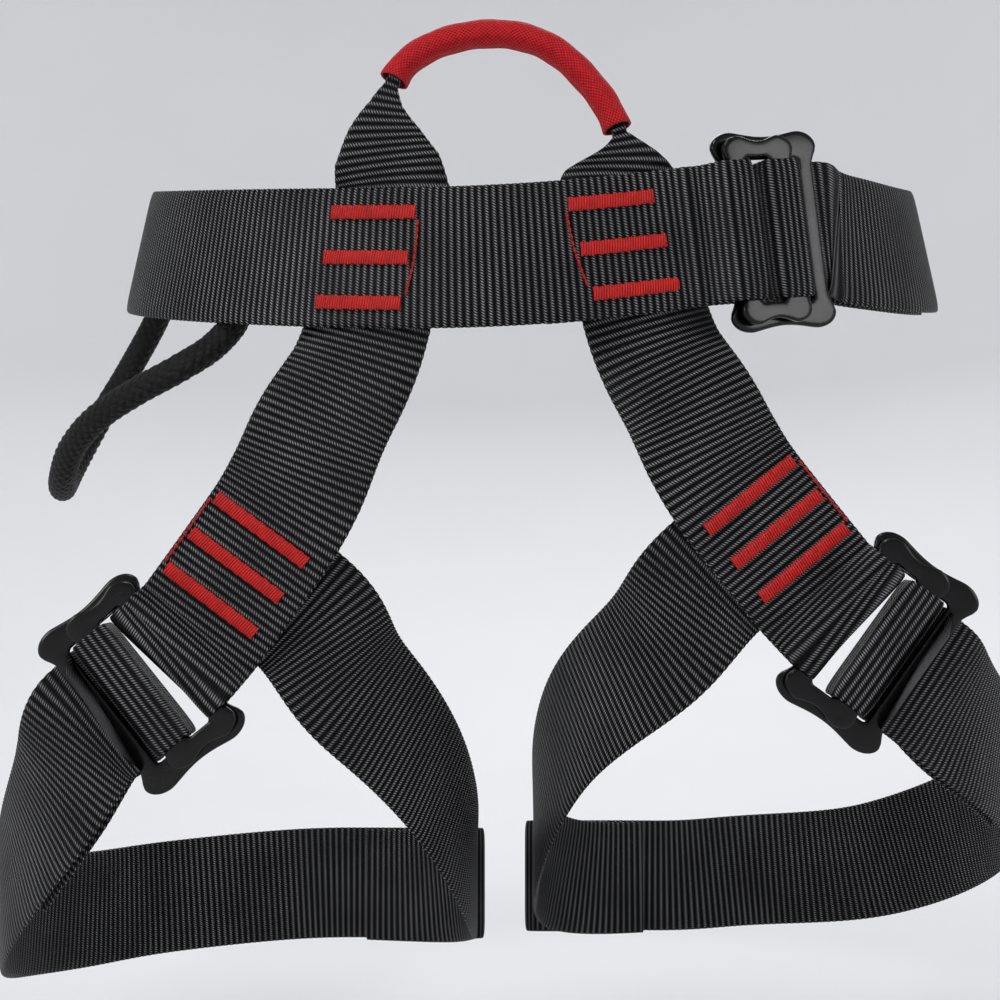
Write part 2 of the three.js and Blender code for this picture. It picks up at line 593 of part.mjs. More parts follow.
function addLegStraps(leg) {
  const frame = legFrame(leg);
  const under = (a, drop) => acrossRiser(leg, frame, LEG_BARTACK_S[1], a, -LAYER - drop);
  const inner = faceOutward(leg, [
    under(20, 0.2), under(0, 0.2), under(-14, 0.4), under(-22, 0.9), under(-28, 2.2),
    ...leg.innerRoute.map(([degrees, z, off = 0]) => onThigh(leg, degrees, z, off)),
    ...REAR_CORNER.map(([x, y], i) => {
      const last = leg.innerRoute[leg.innerRoute.length - 1][1];
      return behindThigh(leg, x, y, mix(last, leg.rearZ, Math.min(1, (i + 1.6) / 4)));
    }),
  ]);
  addMesh(`${leg.side}_leg_inner_strap`, stripGeometry(resample(inner, 7)), BLACK_WEBBING);

  const outerY = REAR_LAYER_Y + 2 * LAYER;
  const route = leg.outerRoute.map(([degrees, z, off = 0]) => onThigh(leg, degrees, z, off));
  const rearStart = mix(leg.rearZ, leg.outerRoute.at(-1)[1], 0.3);
  const rear = [[96, rearStart, -1], ...[72, 50, 30, REAR_FOLD_X + 6].map((x) => [x, leg.rearZ, 0])]
    .map(([x, z, off]) => ({ p: vec(leg.sign * x, outerY + off, z), n: vec(0, 1, 0) }));
  const outOfBuckle = bentStations(frame, [...STRAP_INTO_BUCKLE].reverse());
  const loose = resample([outOfBuckle.at(-1), ...route, ...rear], 7);
  const outer = [...outOfBuckle.slice(0, -1), ...loose, ...hemStations(leg, outerY)];
  addMesh(`${leg.side}_leg_outer_strap`, stripGeometry(outer), BLACK_WEBBING);

  addBuckle(`${leg.side}_leg_buckle`, frame, `${leg.side}_leg_strap`);
  const belowStrap = layerBelow([...outOfBuckle.slice(-3, -1), ...loose]).slice(2);
  const tail = [...bentStations(frame, TAIL_OUT_OF_BUCKLE), ...belowStrap];
  addMesh(`${leg.side}_leg_strap_tail`, stripGeometry(trimmed(tail, TAIL_LENGTH)), BLACK_WEBBING);
}

// The crotch-side end of the rear strap, turned back on itself toward the thigh.
function hemStations(leg, outerY) {
  const bend = LAYER / 2;
  const turn = degreesList(0, 180, 30).map((d) => {
    const out = vec(-leg.sign * Math.sin(rad(d)), Math.cos(rad(d)), 0);
    const centre = vec(leg.sign * (REAR_FOLD_X + bend), outerY - bend, leg.rearZ);
    return { p: centre.addScaledVector(out, bend), n: out };
  });
  const end = vec(leg.sign * (REAR_FOLD_X + REAR_HEM_LENGTH), outerY - LAYER, leg.rearZ);
  return [...turn, { p: end, n: vec(0, -1, 0) }];
}

// ---- stitching ---------------------------------------------------------------------------------------

function addWaistStitching(leg) {
  const { side, sign } = leg;
  const innerX = (row) => WAIST_BARTACK_INNER_X[side] + row * WAIST_BARTACK_STEP_X[side];
  const height = (row) => (1 - row) * BARTACK_PITCH;
  [0, 1, 2].forEach((row) => {
    const bar = [0, 0.25, 0.5, 0.75, 1].map((f) => {
      const x = innerX(row) + sign * f * WAIST_BARTACK_LENGTH;
      return onBelt(beltDegreesAt(x), STITCH_H, height(row));
    });
    addMesh(`${side}_waist_bartack_${row + 1}`, stripGeometry(bar, BARTACK_SIZE), RED_THREAD);
  });
  const reach = BARTACK_PITCH - BARTACK_WIDTH / 2 - FIT_GAP;
  const seam = [-1, 0, 1].map((f) => {
    const x = innerX(1 - f * 0.85) + sign * 0.4 - (f === 0 ? sign * 0.8 : 0);
    return onBelt(beltDegreesAt(x - sign * 1.6), STITCH_H, f * reach);
  });
  addMesh(`${side}_waist_seam`, stripGeometry(seam, SEAM_SIZE), RED_THREAD);
}

function addLegStitching(leg) {
  const frame = legFrame(leg);
  const height = LAYER + STITCH_H;
  const onRiser = (s, a) => acrossRiser(leg, frame, s, a, height);
  LEG_BARTACK_S.forEach((s, row) => {
    const bar = [-0.5, 0.5].map((f) => onRiser(s, LEG_BARTACK_SHIFT + f * LEG_BARTACK_LENGTH));
    addMesh(`${leg.side}_leg_bartack_${row + 1}`, stripGeometry(bar, BARTACK_SIZE), RED_THREAD);
  });
  const [first, , third] = LEG_BARTACK_S;
  const seam = [first + 1, (first + third) / 2, third - 1].map((s) => {
    return onRiser(s, LEG_BARTACK_SHIFT + LEG_BARTACK_LENGTH / 2 + 1.2);
  });
  addMesh(`${leg.side}_leg_seam`, stripGeometry(seam, SEAM_SIZE), RED_THREAD);

  const y = REAR_LAYER_Y + 2 * LAYER + STITCH_H;
  REAR_BARTACK_X.forEach((x, row) => {
    const bar = [-0.5, 0.5].map((f) => ({
      p: vec(leg.sign * x, y, leg.rearZ + f * REAR_BARTACK_LENGTH), n: vec(0, 1, 0),
    }));
    addMesh(`${leg.side}_rear_bartack_${row + 1}`, stripGeometry(bar, BARTACK_SIZE), RED_THREAD);
  });
}

// ---- tie-in loop -------------------------------------------------------------------------------------

// The loop stands on the two risers, and leans back a little on the wearer.
function loopStations() {
  const out = vec(0, -1, -LOOP_LEAN).normalize();
  const bases = LEGS.map((leg) => riserAtBelt(leg, WEB_WIDTH / 2).p);
  return LOOP_ROUTE.map(([x, z, w, t]) => {
    const share = THREE.MathUtils.clamp((x - bases[0].x) / (bases[1].x - bases[0].x), 0, 1);
    const base = bases[0].clone().lerp(bases[1], share);
    const above = z - base.z;
    const flat = 1 - THREE.MathUtils.smoothstep(above, 0, 14);
    return {
      p: vec(x, base.y + LOOP_LEAN * above, z),
      n: out.clone().lerp(onBelt(beltDegreesAt(x)).n, flat).normalize(),
      w,
      t,
      cup: flat * rad(RISER_CUP_DEG),
    };
  });
}

function nearestIndex(stations, [x, z]) {
  const away = stations.map(({ p }) => Math.hypot(p.x - x, p.z - z));
  return away.indexOf(Math.min(...away));
}

function addTieInLoop() {
  const stations = resample(loopStations(), 4);
  stations[0].along = UP;
  stations.at(-1).along = UP.clone().negate();
  addMesh("tie_in_loop_webbing", stripGeometry(stations, { across: 4 }), BLACK_WEBBING);
  const [from, to] = SLEEVE_ENDS.map((end) => nearestIndex(stations, end));
  addMesh("tie_in_sleeve", sleeveGeometry(stations.slice(from, to + 1)), RED_SLEEVE);
}

// An oval tube round the folded webbing, open at both ends.
function sleeveGeometry(stations) {
  const outer = SLEEVE_INNER.map((half) => half + SLEEVE_WALL);
  const rings = [outer, SLEEVE_INNER];
  const points = [];
  stations.forEach((station, i) => {
    const ahead = stations[Math.min(i + 1, stations.length - 1)].p;
    const along = ahead.clone().sub(stations[Math.max(i - 1, 0)].p).normalize();
    const side = along.clone().cross(station.n).normalize();
    const out = side.clone().cross(along).normalize();
    for (const [halfSide, halfOut] of rings) {
      for (let k = 0; k < SLEEVE_SIDES; k += 1) {
        const angle = (k + 0.5) * 2 * Math.PI / SLEEVE_SIDES;
        points.push(station.p.clone().addScaledVector(side, halfSide * Math.cos(angle))
          .addScaledVector(out, halfOut * Math.sin(angle)));
      }
    }
  });
  const triangles = [];
  const ring = 2 * SLEEVE_SIDES;
  const quad = (a, b, c, d) => triangles.push([a, b, c], [a, c, d]);
  for (let k = 0; k < SLEEVE_SIDES; k += 1) {
    const next = (k + 1) % SLEEVE_SIDES;
    for (let i = 0; i < stations.length - 1; i += 1) {
      const here = i * ring;
      const there = here + ring;
      quad(here + k, here + next, there + next, there + k);
      const skip = SLEEVE_SIDES;
      quad(here + skip + next, here + skip + k, there + skip + k, there + skip + next);
    }
    const end = (stations.length - 1) * ring;
    quad(k, SLEEVE_SIDES + k, SLEEVE_SIDES + next, next);
    quad(end + next, end + SLEEVE_SIDES + next, end + SLEEVE_SIDES + k, end + k);
  }
  return closedGeometry(points, triangles);
}

// ---- gear loop ---------------------------------------------------------------------------------------

function addGearLoop() {
  const sewn = -(WEB_THICKNESS + GEAR_CORD_DIAMETER) / 2 - GEAR_CORD_SLACK;
  const [front, rear] = GEAR_CORD_ENDS_DEG;
  const route = new THREE.CatmullRomCurve3([
    onBelt(front, sewn, -10).p, onBelt(front - 1, sewn, -20).p,
    ...GEAR_CORD_ROUTE.map((point) => vec(...point)),
    onBelt(rear + 1, sewn, -22).p, onBelt(rear, sewn, -10).p,
  ]);
  const section = new THREE.Shape();
  for (let k = 0; k < GEAR_CORD_SIDES; k += 1) {
    const angle = 2 * Math.PI * k / GEAR_CORD_SIDES;
    const point = [Math.cos(angle), Math.sin(angle)].map((v) => v * GEAR_CORD_DIAMETER / 2);
    if (k === 0) section.moveTo(...point);
    else section.lineTo(...point);
  }
  section.closePath();
  const geometry = new THREE.ExtrudeGeometry(section, {
    steps: GEAR_CORD_STEPS, extrudePath: route, bevelEnabled: false,
  });
  addMesh("gear_loop_cord", geometry, BLACK_CORD);
}

// ---- the whole saddle --------------------------------------------------------------------------------

addWaistBelt();
for (const leg of LEGS) {
  addRiser(leg);
  addLegStraps(leg);
  addWaistStitching(leg);
  addLegStitching(leg);
}
addTieInLoop();
addGearLoop();

export default saddle;
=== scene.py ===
"""Tree climbing saddle: ribbed black webbing, red bartacks, enamelled steel buckles, braided gear loop.

Lengths are worked out in millimetres and put into the meshes in metres.
+X is the wearer's left, +Y the wearer's back, +Z up; the origin is the middle of the waist belt.
"""
import bpy
import math
import numpy as np
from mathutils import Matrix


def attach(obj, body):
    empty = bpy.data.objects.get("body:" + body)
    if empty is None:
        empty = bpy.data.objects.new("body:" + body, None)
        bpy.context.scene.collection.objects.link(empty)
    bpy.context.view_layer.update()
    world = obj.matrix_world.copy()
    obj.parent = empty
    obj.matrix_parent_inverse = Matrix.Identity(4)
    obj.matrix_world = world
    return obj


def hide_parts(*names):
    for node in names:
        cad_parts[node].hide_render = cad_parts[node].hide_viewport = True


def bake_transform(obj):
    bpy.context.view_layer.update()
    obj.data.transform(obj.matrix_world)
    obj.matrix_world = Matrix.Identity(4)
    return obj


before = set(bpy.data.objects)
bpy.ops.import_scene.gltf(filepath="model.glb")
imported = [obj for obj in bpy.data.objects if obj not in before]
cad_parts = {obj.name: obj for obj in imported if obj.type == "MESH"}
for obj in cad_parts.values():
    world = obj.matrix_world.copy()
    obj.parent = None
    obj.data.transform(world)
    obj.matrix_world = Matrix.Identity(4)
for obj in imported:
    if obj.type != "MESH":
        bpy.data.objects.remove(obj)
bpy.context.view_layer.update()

# ---- sizes in mm, the same as the solids' own ----------------------------------------------------

WEB_WIDTH = 45.0
WEB_THICKNESS = 2.0
FIT_GAP = 0.3
LAYER = WEB_THICKNESS + FIT_GAP
RIB_PITCH = 2.35          # one weft rib of the webbing
RIB_HEIGHT = 0.26
RIB_SAMPLES = 5
EDGE_STEPS = 16           # steps across the webbing

WAIST_HALF_WIDTHS = {-1: 135.0, 1: 155.0}
WAIST_HALF_DEPTH = 123.0
WAIST_TILT = 0.138
HIP_FLARE_DEG = 13.0
BUCKLE_LIFT = 8.0
BUCKLE_LIFT_SPREAD_DEG = 24.0

THIGH_CENTRE = (96.5, -20.0)
THIGH_HALF = (85.0, 90.0)
LEG_FRAME_DEG = -5.0
LEGS = (
    dict(side="right", sign=-1, degrees=-14.1, z=-152.5, fall=39.0, middle=(60.5, -68.0), layers=1,
         inner=[(31, -152, .8), (39, -162, 0), (48, -174, 0), (60, -191, 0), (74, -212, 0), (88, -229, 0)],
         outer=[(-36, -189, 4), (-46, -204, 1.5), (-58, -219, 0), (-72, -234, 0), (-90, -245, 0),
                (-110, -251, 0), (-130, -254, 0), (-150, -254, 2.3)], rear_z=-250.0),
    dict(side="left", sign=1, degrees=-15.6, z=-139.2, fall=36.0, middle=(60.5, -62.0), layers=2,
         inner=[(31, -139, .8), (39, -148, 0), (48, -157, 0), (60, -170, 0), (74, -190, 0), (88, -209, 0)],
         outer=[(-37, -164.5, 4.5), (-48, -174, 2.5), (-60, -183, 1), (-74, -194, 0), (-90, -204, 0),
                (-110, -217, 0), (-130, -230, 0), (-150, -240, 2.3)], rear_z=-247.0),
)
REAR_CORNER = ((12, 12), (14, 36), (21, 54), (36, 65), (56, 68))
REAR_LAYER_Y = 68.0
REAR_FOLD_X = 5.0
REAR_HEM_LENGTH = 38.0

PLATE_THICKNESS = 2.6
WINDOW_LENGTH = 47.0
BACK_PLATE = dict(length=65.0, fixed=(-17.6, -11.6), outer=(12.6, 18.6), lobe=2.4, waist=1.6, corner=5.0)
FRONT_PLATE = dict(length=61.0, fixed=(-17.0, -11.0), outer=(-1.6, 7.0), lobe=1.5, waist=1.8, corner=4.5)
BACK_PLATE_H = 2.6
FRONT_PLATE_H = 6.4
FOLD_TOP_H = 9.9
BIGHT_TOP_H = 9.0
BIGHT_OUTER_S = 9.3
BIGHT_INNER_S = -2.9
FOLD_INNER_S = -9.7
BIGHT_FOOT_H = 2.2
BEND_RADIUS = 2.2
TAIL_LENGTH = 95.0
TAIL_DROP = LAYER + 1.3
STRAP_STRAIGHT = 16.0
WAIST_BUCKLE_DEG = 33.4
WAIST_BUCKLE_RISE_DEG = 6.0

RISER_CUP = math.radians(34)
RISER_X = (37.3, 47.4)
RISER_FOOT_S = -70.0
RISER_STEER = 0.27
LOOP_LEAN = 0.1
FOLDED = (4.6, 8.2)
LOOP_ROUTE = (
    (-37.6, 8.4, 39, 2), (-38.6, 16, 34, 2.6), (-39.4, 25.6, 23, 4.4), (-38.9, 33.5, 11, 7),
    (-37.6, 39.5, *FOLDED), (-36, 44, *FOLDED), (-29, 50.5, *FOLDED), (-19.1, 55, *FOLDED),
    (-8, 57.2, *FOLDED), (2, 57, *FOLDED), (11, 54.6, *FOLDED), (19, 49.6, *FOLDED),
    (26, 42.2, *FOLDED), (32, 34.4, *FOLDED), (36, 26.6, *FOLDED), (37.2, 23.6, *FOLDED),
    (38, 20.4, 13, 6.4), (38.3, 16.6, 27, 3.6), (38, 12.6, 39, 2),
)
SLEEVE_ENDS = ((-36.8, 42.0), (36.2, 26.0))
SLEEVE_HALF = (4.55, 6.6)

BARTACK_WIDTH = 4.4
BARTACK_PITCH = 14.5
LEG_BARTACK_S = (-62.0, -48.5, -35.0)
THREAD_PITCH = 0.85        # one throw of the satin stitch
STITCH_H = 1.32           # foot of a stitch above the middle of its webbing

CORD_DIAMETER = 9.5
CORD_ROUTE = (
    (-97.5, -87, -42), (-108, -91.5, -49.5), (-124, -86, -57.5), (-139, -76, -66),
    (-149.5, -64, -75.5), (-155.5, -50, -84.5), (-159, -34, -89), (-161, -16, -86),
    (-159, -1, -76), (-153, 10, -61), (-144, 16, -44),
)

UP = np.array((0.0, 0.0, 1.0))


def unit(v):
    """Each vector divided by its own length."""
    return v / np.linalg.norm(v, axis=-1, keepdims=True)


def mix(a, b, f):
    """Straight blend: a at f=0, b at f=1."""
    return a + (b - a) * f


# ---- camera and light ----------------------------------------------------------------------------

def set_camera():
    """Level camera in front of the belt, a little below it, looking along +Y."""
    data = bpy.data.cameras.new("front view")
    data.lens = 75.85
    data.sensor_width = 36.0
    data.clip_start = 0.01
    camera = bpy.data.objects.new("front view", data)
    camera.location = (-0.002, -0.790, -0.0934)
    camera.rotation_euler = (math.radians(90), 0, 0)
    bpy.context.scene.collection.objects.link(camera)
    bpy.context.scene.camera = camera


def set_light():
    """Soft boxes above, left, right and behind, two more washing the paper, and an even pale sky."""
    bpy.context.scene.view_settings.view_transform = "Standard"
    boxes = (
        ("overhead box", (-0.20, -0.75, 1.00), (37, 0, -15), 0.35, 9.0),
        ("left box", (-1.05, -0.80, 0.25), (78, 0, -53), 0.35, 5.0),
        ("right box", (1.10, -0.60, 0.20), (78, 0, 61), 0.40, 3.0),
        ("rear box", (0.1, 1.15, 0.8), (-58, 0, 0), 0.80, 7.0),
        ("left paper wash", (-0.9, 0.7, 1.3), (62, 0, 0), 0.80, 4.5),
        ("right paper wash", (0.9, 0.7, 1.3), (62, 0, 0), 0.80, 4.5),
    )
    for name, place, turn, size, watts in boxes:
        data = bpy.data.lights.new(name, "AREA")
        data.shape = "SQUARE"
        data.size = size
        data.energy = watts
        lamp = bpy.data.objects.new(name, data)
        lamp.location = place
        lamp.rotation_euler = [math.radians(a) for a in turn]
        lamp.visible_camera = False
        bpy.context.scene.collection.objects.link(lamp)
    world = bpy.data.worlds.new("studio")
    world.use_nodes = True
    sky = world.node_tree.nodes["Background"]
    sky.inputs["Color"].default_value = (0.86, 0.88, 0.92, 1)
    sky.inputs["Strength"].default_value = 0.38
    bpy.context.scene.world = world


# ---- shapes of the body that the straps lie on ---------------------------------------------------

def on_belt(degrees, offset=0.0, height=0.0):
    """Ellipse round the hips, wider on the left, tilted up to the back and flared at the sides.

    Returns the place, the outward normal at `degrees` from the front toward the left.
    """
    t = np.radians(np.asarray(degrees, float))
    t = np.arctan2(np.sin(t), np.cos(t))
    half = np.where(t < 0, WAIST_HALF_WIDTHS[-1], WAIST_HALF_WIDTHS[1])
    x = half * np.sin(t)
    y = -WAIST_HALF_DEPTH * np.cos(t)
    spread = (np.degrees(t) - WAIST_BUCKLE_DEG) / BUCKLE_LIFT_SPREAD_DEG
    z = WAIST_TILT * y + BUCKLE_LIFT * np.exp(-spread ** 2)
    flare = np.radians(HIP_FLARE_DEG) * np.sin(t) ** 2
    level = unit(np.stack([np.sin(t) / half, -np.cos(t) / WAIST_HALF_DEPTH, 0 * t], -1))
    cos, sin = np.cos(flare)[..., None], np.sin(flare)[..., None]
    normal = level * cos + UP * sin
    across = UP * cos - level * sin
    place = np.stack([x, y, z], -1)
    place = place + normal * np.asarray(offset)[..., None] + across * np.asarray(height, float)[..., None]
    return place, normal


def belt_degrees(x):
    """Angle round the belt whose place lies x across from the middle of the front."""
    half = np.where(np.asarray(x) < 0, WAIST_HALF_WIDTHS[-1], WAIST_HALF_WIDTHS[1])
    return np.degrees(np.arcsin(x / half))


def on_thigh(leg, degrees, z, offset=0.0):
    """Upright oval cylinder for the thigh; the angle runs from its front toward the crotch."""
    t = np.radians(np.asarray(degrees, float))
    normal = unit(np.stack([-leg["sign"] * np.sin(t) / THIGH_HALF[0], -np.cos(t) / THIGH_HALF[1], 0 * t], -1))
    place = np.stack([leg["sign"] * (THIGH_CENTRE[0] - THIGH_HALF[0] * np.sin(t)),
                      THIGH_CENTRE[1] - THIGH_HALF[1] * np.cos(t), np.asarray(z, float) + 0 * t], -1)
    return place + normal * np.asarray(offset, float)[..., None], normal


class Buckle:
    """A buckle's own axes: s along the strap, a across it, h off the wearer."""

    def __init__(self, origin, out, along):
        self.origin = origin
        self.h = unit(out)
        self.a = unit(np.cross(self.h, along))
        self.s = unit(np.cross(self.a, self.h))

    def at(self, s, a, h):
        """origin + s, a and h steps along the three axes."""
        s, a, h = (np.asarray(v, float)[..., None] for v in (s, a, h))
        return self.origin + s * self.s + a * self.a + h * self.h


def waist_buckle():
    """The waist buckle stands square on the belt, its strap rising a little."""
    place, normal = on_belt(WAIST_BUCKLE_DEG)
    ahead = (on_belt(WAIST_BUCKLE_DEG + 1)[0] - on_belt(WAIST_BUCKLE_DEG - 1)[0]) * (1, 1, 0)
    return Buckle(place, normal, unit(ahead) + UP * math.tan(math.radians(WAIST_BUCKLE_RISE_DEG)))


def leg_buckle(leg):
    """A leg buckle faces the front of its thigh; its strap falls away to the outside."""
    fall = math.radians(leg["fall"])
    along = np.array((leg["sign"] * math.cos(fall), 0, -math.sin(fall)))
    return Buckle(on_thigh(leg, leg["degrees"], leg["z"])[0],
                  on_thigh(leg, LEG_FRAME_DEG, leg["z"])[1], along)


# ---- runs of webbing -----------------------------------------------------------------------------

def run(places, normals, width=WEB_WIDTH, thickness=WEB_THICKNESS, cup=0.0, soft=1.0):
    """One row per station: place, outward normal, width, thickness, curl, and whether it eases."""
    places = np.atleast_2d(np.asarray(places, float))
    count = len(places)
    extra = [np.broadcast_to(np.asarray(v, float), (count,)) for v in (width, thickness, cup, soft)]
    return np.hstack([places, np.broadcast_to(normals, (count, 3)), np.stack(extra, 1)])


def smooth_run(rows, step):
    """Centripetal Catmull-Rom curve through the stations, cut into even lengths of `step`."""
    p = rows[:, :3]
    knots = np.concatenate([[0], np.cumsum(np.linalg.norm(np.diff(p, axis=0), axis=1) ** 0.5 + 1e-6)])
    ends = [2 * p[0] - p[1], *p, 2 * p[-1] - p[-2]]
    q = np.array(ends)
    k = np.concatenate([[2 * knots[0] - knots[1]], knots, [2 * knots[-1] - knots[-2]]])
    fine = np.concatenate([np.linspace(knots[i], knots[i + 1], 24, endpoint=False) for i in range(len(p) - 1)]
                          + [[knots[-1]]])

    def curve(t):
        i = np.clip(np.searchsorted(knots, t, side="right") - 1, 0, len(p) - 2)
        t0, t1, t2, t3 = (k[i + j][:, None] for j in range(4))
        p0, p1, p2, p3 = (q[i + j] for j in range(4))
        tt = t[:, None]
        a1 = (t1 - tt) / (t1 - t0) * p0 + (tt - t0) / (t1 - t0) * p1
        a2 = (t2 - tt) / (t2 - t1) * p1 + (tt - t1) / (t2 - t1) * p2
        a3 = (t3 - tt) / (t3 - t2) * p2 + (tt - t2) / (t3 - t2) * p3
        b1 = (t2 - tt) / (t2 - t0) * a1 + (tt - t0) / (t2 - t0) * a2
        b2 = (t3 - tt) / (t3 - t1) * a2 + (tt - t1) / (t3 - t1) * a3
        return (t2 - tt) / (t2 - t1) * b1 + (tt - t1) / (t2 - t1) * b2

    places = curve(fine)
    lengths = np.concatenate([[0], np.cumsum(np.linalg.norm(np.diff(places, axis=0), axis=1))])
    count = max(3, int(round(lengths[-1] / step)))
    t = np.interp(np.linspace(0, lengths[-1], count + 1), lengths, fine)
    rest = np.stack([np.interp(t, knots, rows[:, c]) for c in range(3, rows.shape[1])], 1)
    rest[:, :3] = unit(rest[:, :3])
    return np.hstack([curve(t), rest]), lengths[-1]


def axes_along(rows, first=None, last=None):
    """Tangent, sideways and outward directions at each station."""
    p = rows[:, :3]
    tangent = np.gradient(p, axis=0)
    if first is not None:
        tangent[0] = first
    if last is not None:
        tangent[-1] = last
    tangent = unit(tangent)
    side = unit(np.cross(tangent, rows[:, 3:6]))
    return tangent, side, np.cross(side, tangent)


def eased(values, steps):
    """Running average under a bell of that many samples' width, the ends carried straight on."""
    reach = int(3 * steps)
    reach = min(reach, len(values) - 1)
    bell = np.exp(-0.5 * (np.arange(-reach, reach + 1) / steps) ** 2)
    bell /= bell.sum()
    before = 2 * values[:1] - values[reach:0:-1]
    after = 2 * values[-1:] - values[-2:-reach - 2:-1]
    padded = np.vstack([before, values, after])
    return np.stack([np.convolve(padded[:, c], bell, mode="valid") for c in range(values.shape[1])], 1)


def put_mesh(name, points, faces, uv=None, smooth=True):
    """A mesh object at the origin from points in mm, with its places across and along as a UV map."""
    name = name.replace(" ", "_")
    mesh = bpy.data.meshes.new(name)
    mesh.from_pydata((points * 0.001).tolist(), [], faces)
    if uv is not None:
        layer = mesh.uv_layers.new(name="weave")
        index = np.empty(len(mesh.loops), dtype=np.int32)
        mesh.loops.foreach_get("vertex_index", index)
        layer.data.foreach_set("uv", (uv[index] * 0.001).astype(np.float32).ravel())
    mesh.polygons.foreach_set("use_smooth", np.full(len(mesh.polygons), smooth))
    mesh.update()
    piece = bpy.data.objects.new(name, mesh)
    bpy.context.scene.collection.objects.link(piece)
    return piece


def tube_faces(rows, ring, first=0):
    """Quads of a grid that closes round, and a cap at each end."""
    i, j = np.meshgrid(np.arange(rows - 1), np.arange(ring), indexing="ij")
    a = first + i * ring + j
    b = first + i * ring + (j + 1) % ring
    faces = np.stack([a, b, b + ring, a + ring], -1).reshape(-1, 4).tolist()
    faces.append([first + k for k in range(ring)][::-1])
    faces.append([first + (rows - 1) * ring + k for k in range(ring)])
    return faces


def facing_out(points, faces):
    """The faces, all turned over if the closed mesh faces inward."""
    quads = np.array([f for f in faces if len(f) == 4])
    a, b, c, d = (points[quads[:, k]] for k in range(4))
    volume = np.einsum("ij,ij->", a, np.cross(b, c)) + np.einsum("ij,ij->", a, np.cross(c, d))
    return faces if volume > 0 else [f[::-1] for f in faces]


def webbing(name, rows, first=None, last=None, ease=6.0):
    """Ribbed webbing along a run of stations.

    Across, the half thickness is the square root of 1 - u^10, so the selvedge is round.
    Along, rounded ribs |sin|^0.6 of the distance over the pitch stand on both faces, and
    scallop the selvedge. A curled station bends the width into an arc. Away from the buckles
    the middle line eases over `ease` mm, and the sideways direction over twice that.
    """
    rows, length = smooth_run(rows, RIB_PITCH / RIB_SAMPLES)
    steps = ease * RIB_SAMPLES / RIB_PITCH
    if length > 8 * ease:
        rows[:, :3] = mix(rows[:, :3], eased(rows[:, :3], steps), rows[:, 9:10] ** 2)
    tangent, side, _ = axes_along(rows, first, last)
    if length > 8 * ease:
        side = eased(side, 2 * steps)
    side = unit(side - tangent * np.einsum("ij,ij->i", side, tangent)[:, None])
    out = np.cross(side, tangent)
    v = np.linspace(0, length, len(rows))
    rib = np.abs(np.sin(np.pi * v / RIB_PITCH)) ** 0.6 - 0.7
    u = -np.cos(np.pi * np.arange(EDGE_STEPS + 1) / EDGE_STEPS)
    u = np.concatenate([u, u[-2:0:-1]])
    face = np.concatenate([np.ones(EDGE_STEPS + 1), -np.ones(EDGE_STEPS - 1)])
    half_width = rows[:, 6:7] / 2 + 0.22 * rib[:, None]
    half_thick = rows[:, 7:8] / 2 - 0.05 + RIB_HEIGHT * rib[:, None]
    roll = np.sqrt(np.clip(1 - u ** 10, 0, 1))
    curl = np.maximum(rows[:, 8:9], 1e-4)
    angle = u[None, :] * curl
    radius = half_width / curl
    shift = radius * np.sin(angle)
    sink = radius * (np.cos(angle) - 1)
    lift = half_thick * (face * roll)[None, :]
    points = (rows[:, None, :3]
              + side[:, None] * (shift + lift * np.sin(angle))[..., None]
              + out[:, None] * (sink + lift * np.cos(angle))[..., None]).reshape(-1, 3)
    faces = tube_faces(len(rows), len(u))
    uv = np.stack([u[None, :] * rows[:, 6:7] / 2 + 0 * v[:, None], v[:, None] + 0 * u[None, :]], -1)
    return put_mesh(name, points, facing_out(points, faces), uv.reshape(-1, 2))


def bent(buckle, corners, sideways=None, radius=BEND_RADIUS):
    """Straight runs in the s-h plane of a buckle, each corner rounded by a parabola."""
    pts = [np.array(c[:2], float) for c in corners]
    places, tangents = [pts[0]], [pts[1] - pts[0]]
    for i in range(1, len(pts) - 1):
        before, after = pts[i - 1] - pts[i], pts[i + 1] - pts[i]
        want = corners[i][2] if len(corners[i]) > 2 else radius
        cut = min(want, np.linalg.norm(before) / 2.02, np.linalg.norm(after) / 2.02)
        enter, leave = pts[i] + unit(before) * cut, pts[i] + unit(after) * cut
        for f in (0, 0.25, 0.5, 0.75, 1):
            places.append((1 - f) ** 2 * enter + 2 * f * (1 - f) * pts[i] + f * f * leave)
            tangents.append(mix(-unit(before), unit(after), f))
    places.append(pts[-1])
    tangents.append(pts[-1] - pts[-2])
    flat, tan = np.array(places), unit(np.array(tangents))
    a = 0 * flat[:, 0] if sideways is None else sideways(flat[:, 0])
    normals = buckle.h * tan[:, :1] - buckle.s * tan[:, 1:]
    return run(buckle.at(flat[:, 0], a, flat[:, 1]), normals, soft=0.0)


STRAP_IN = ((BIGHT_OUTER_S + STRAP_STRAIGHT, 0), (BIGHT_OUTER_S, 0), (BIGHT_OUTER_S, BIGHT_FOOT_H))
BIGHT = ((BIGHT_OUTER_S, BIGHT_FOOT_H), (BIGHT_OUTER_S, BIGHT_TOP_H),
         (BIGHT_INNER_S, BIGHT_TOP_H), (BIGHT_INNER_S, BIGHT_FOOT_H))
TAIL_OUT = ((BIGHT_INNER_S, BIGHT_FOOT_H), (BIGHT_INNER_S, -TAIL_DROP),
            (BIGHT_OUTER_S + STRAP_STRAIGHT / 2, -TAIL_DROP))


def below(rows):
    """The same run, one loose layer nearer the wearer."""
    out = axes_along(rows)[2]
    lower = rows.copy()
    lower[:, :3] -= out * TAIL_DROP
    return lower


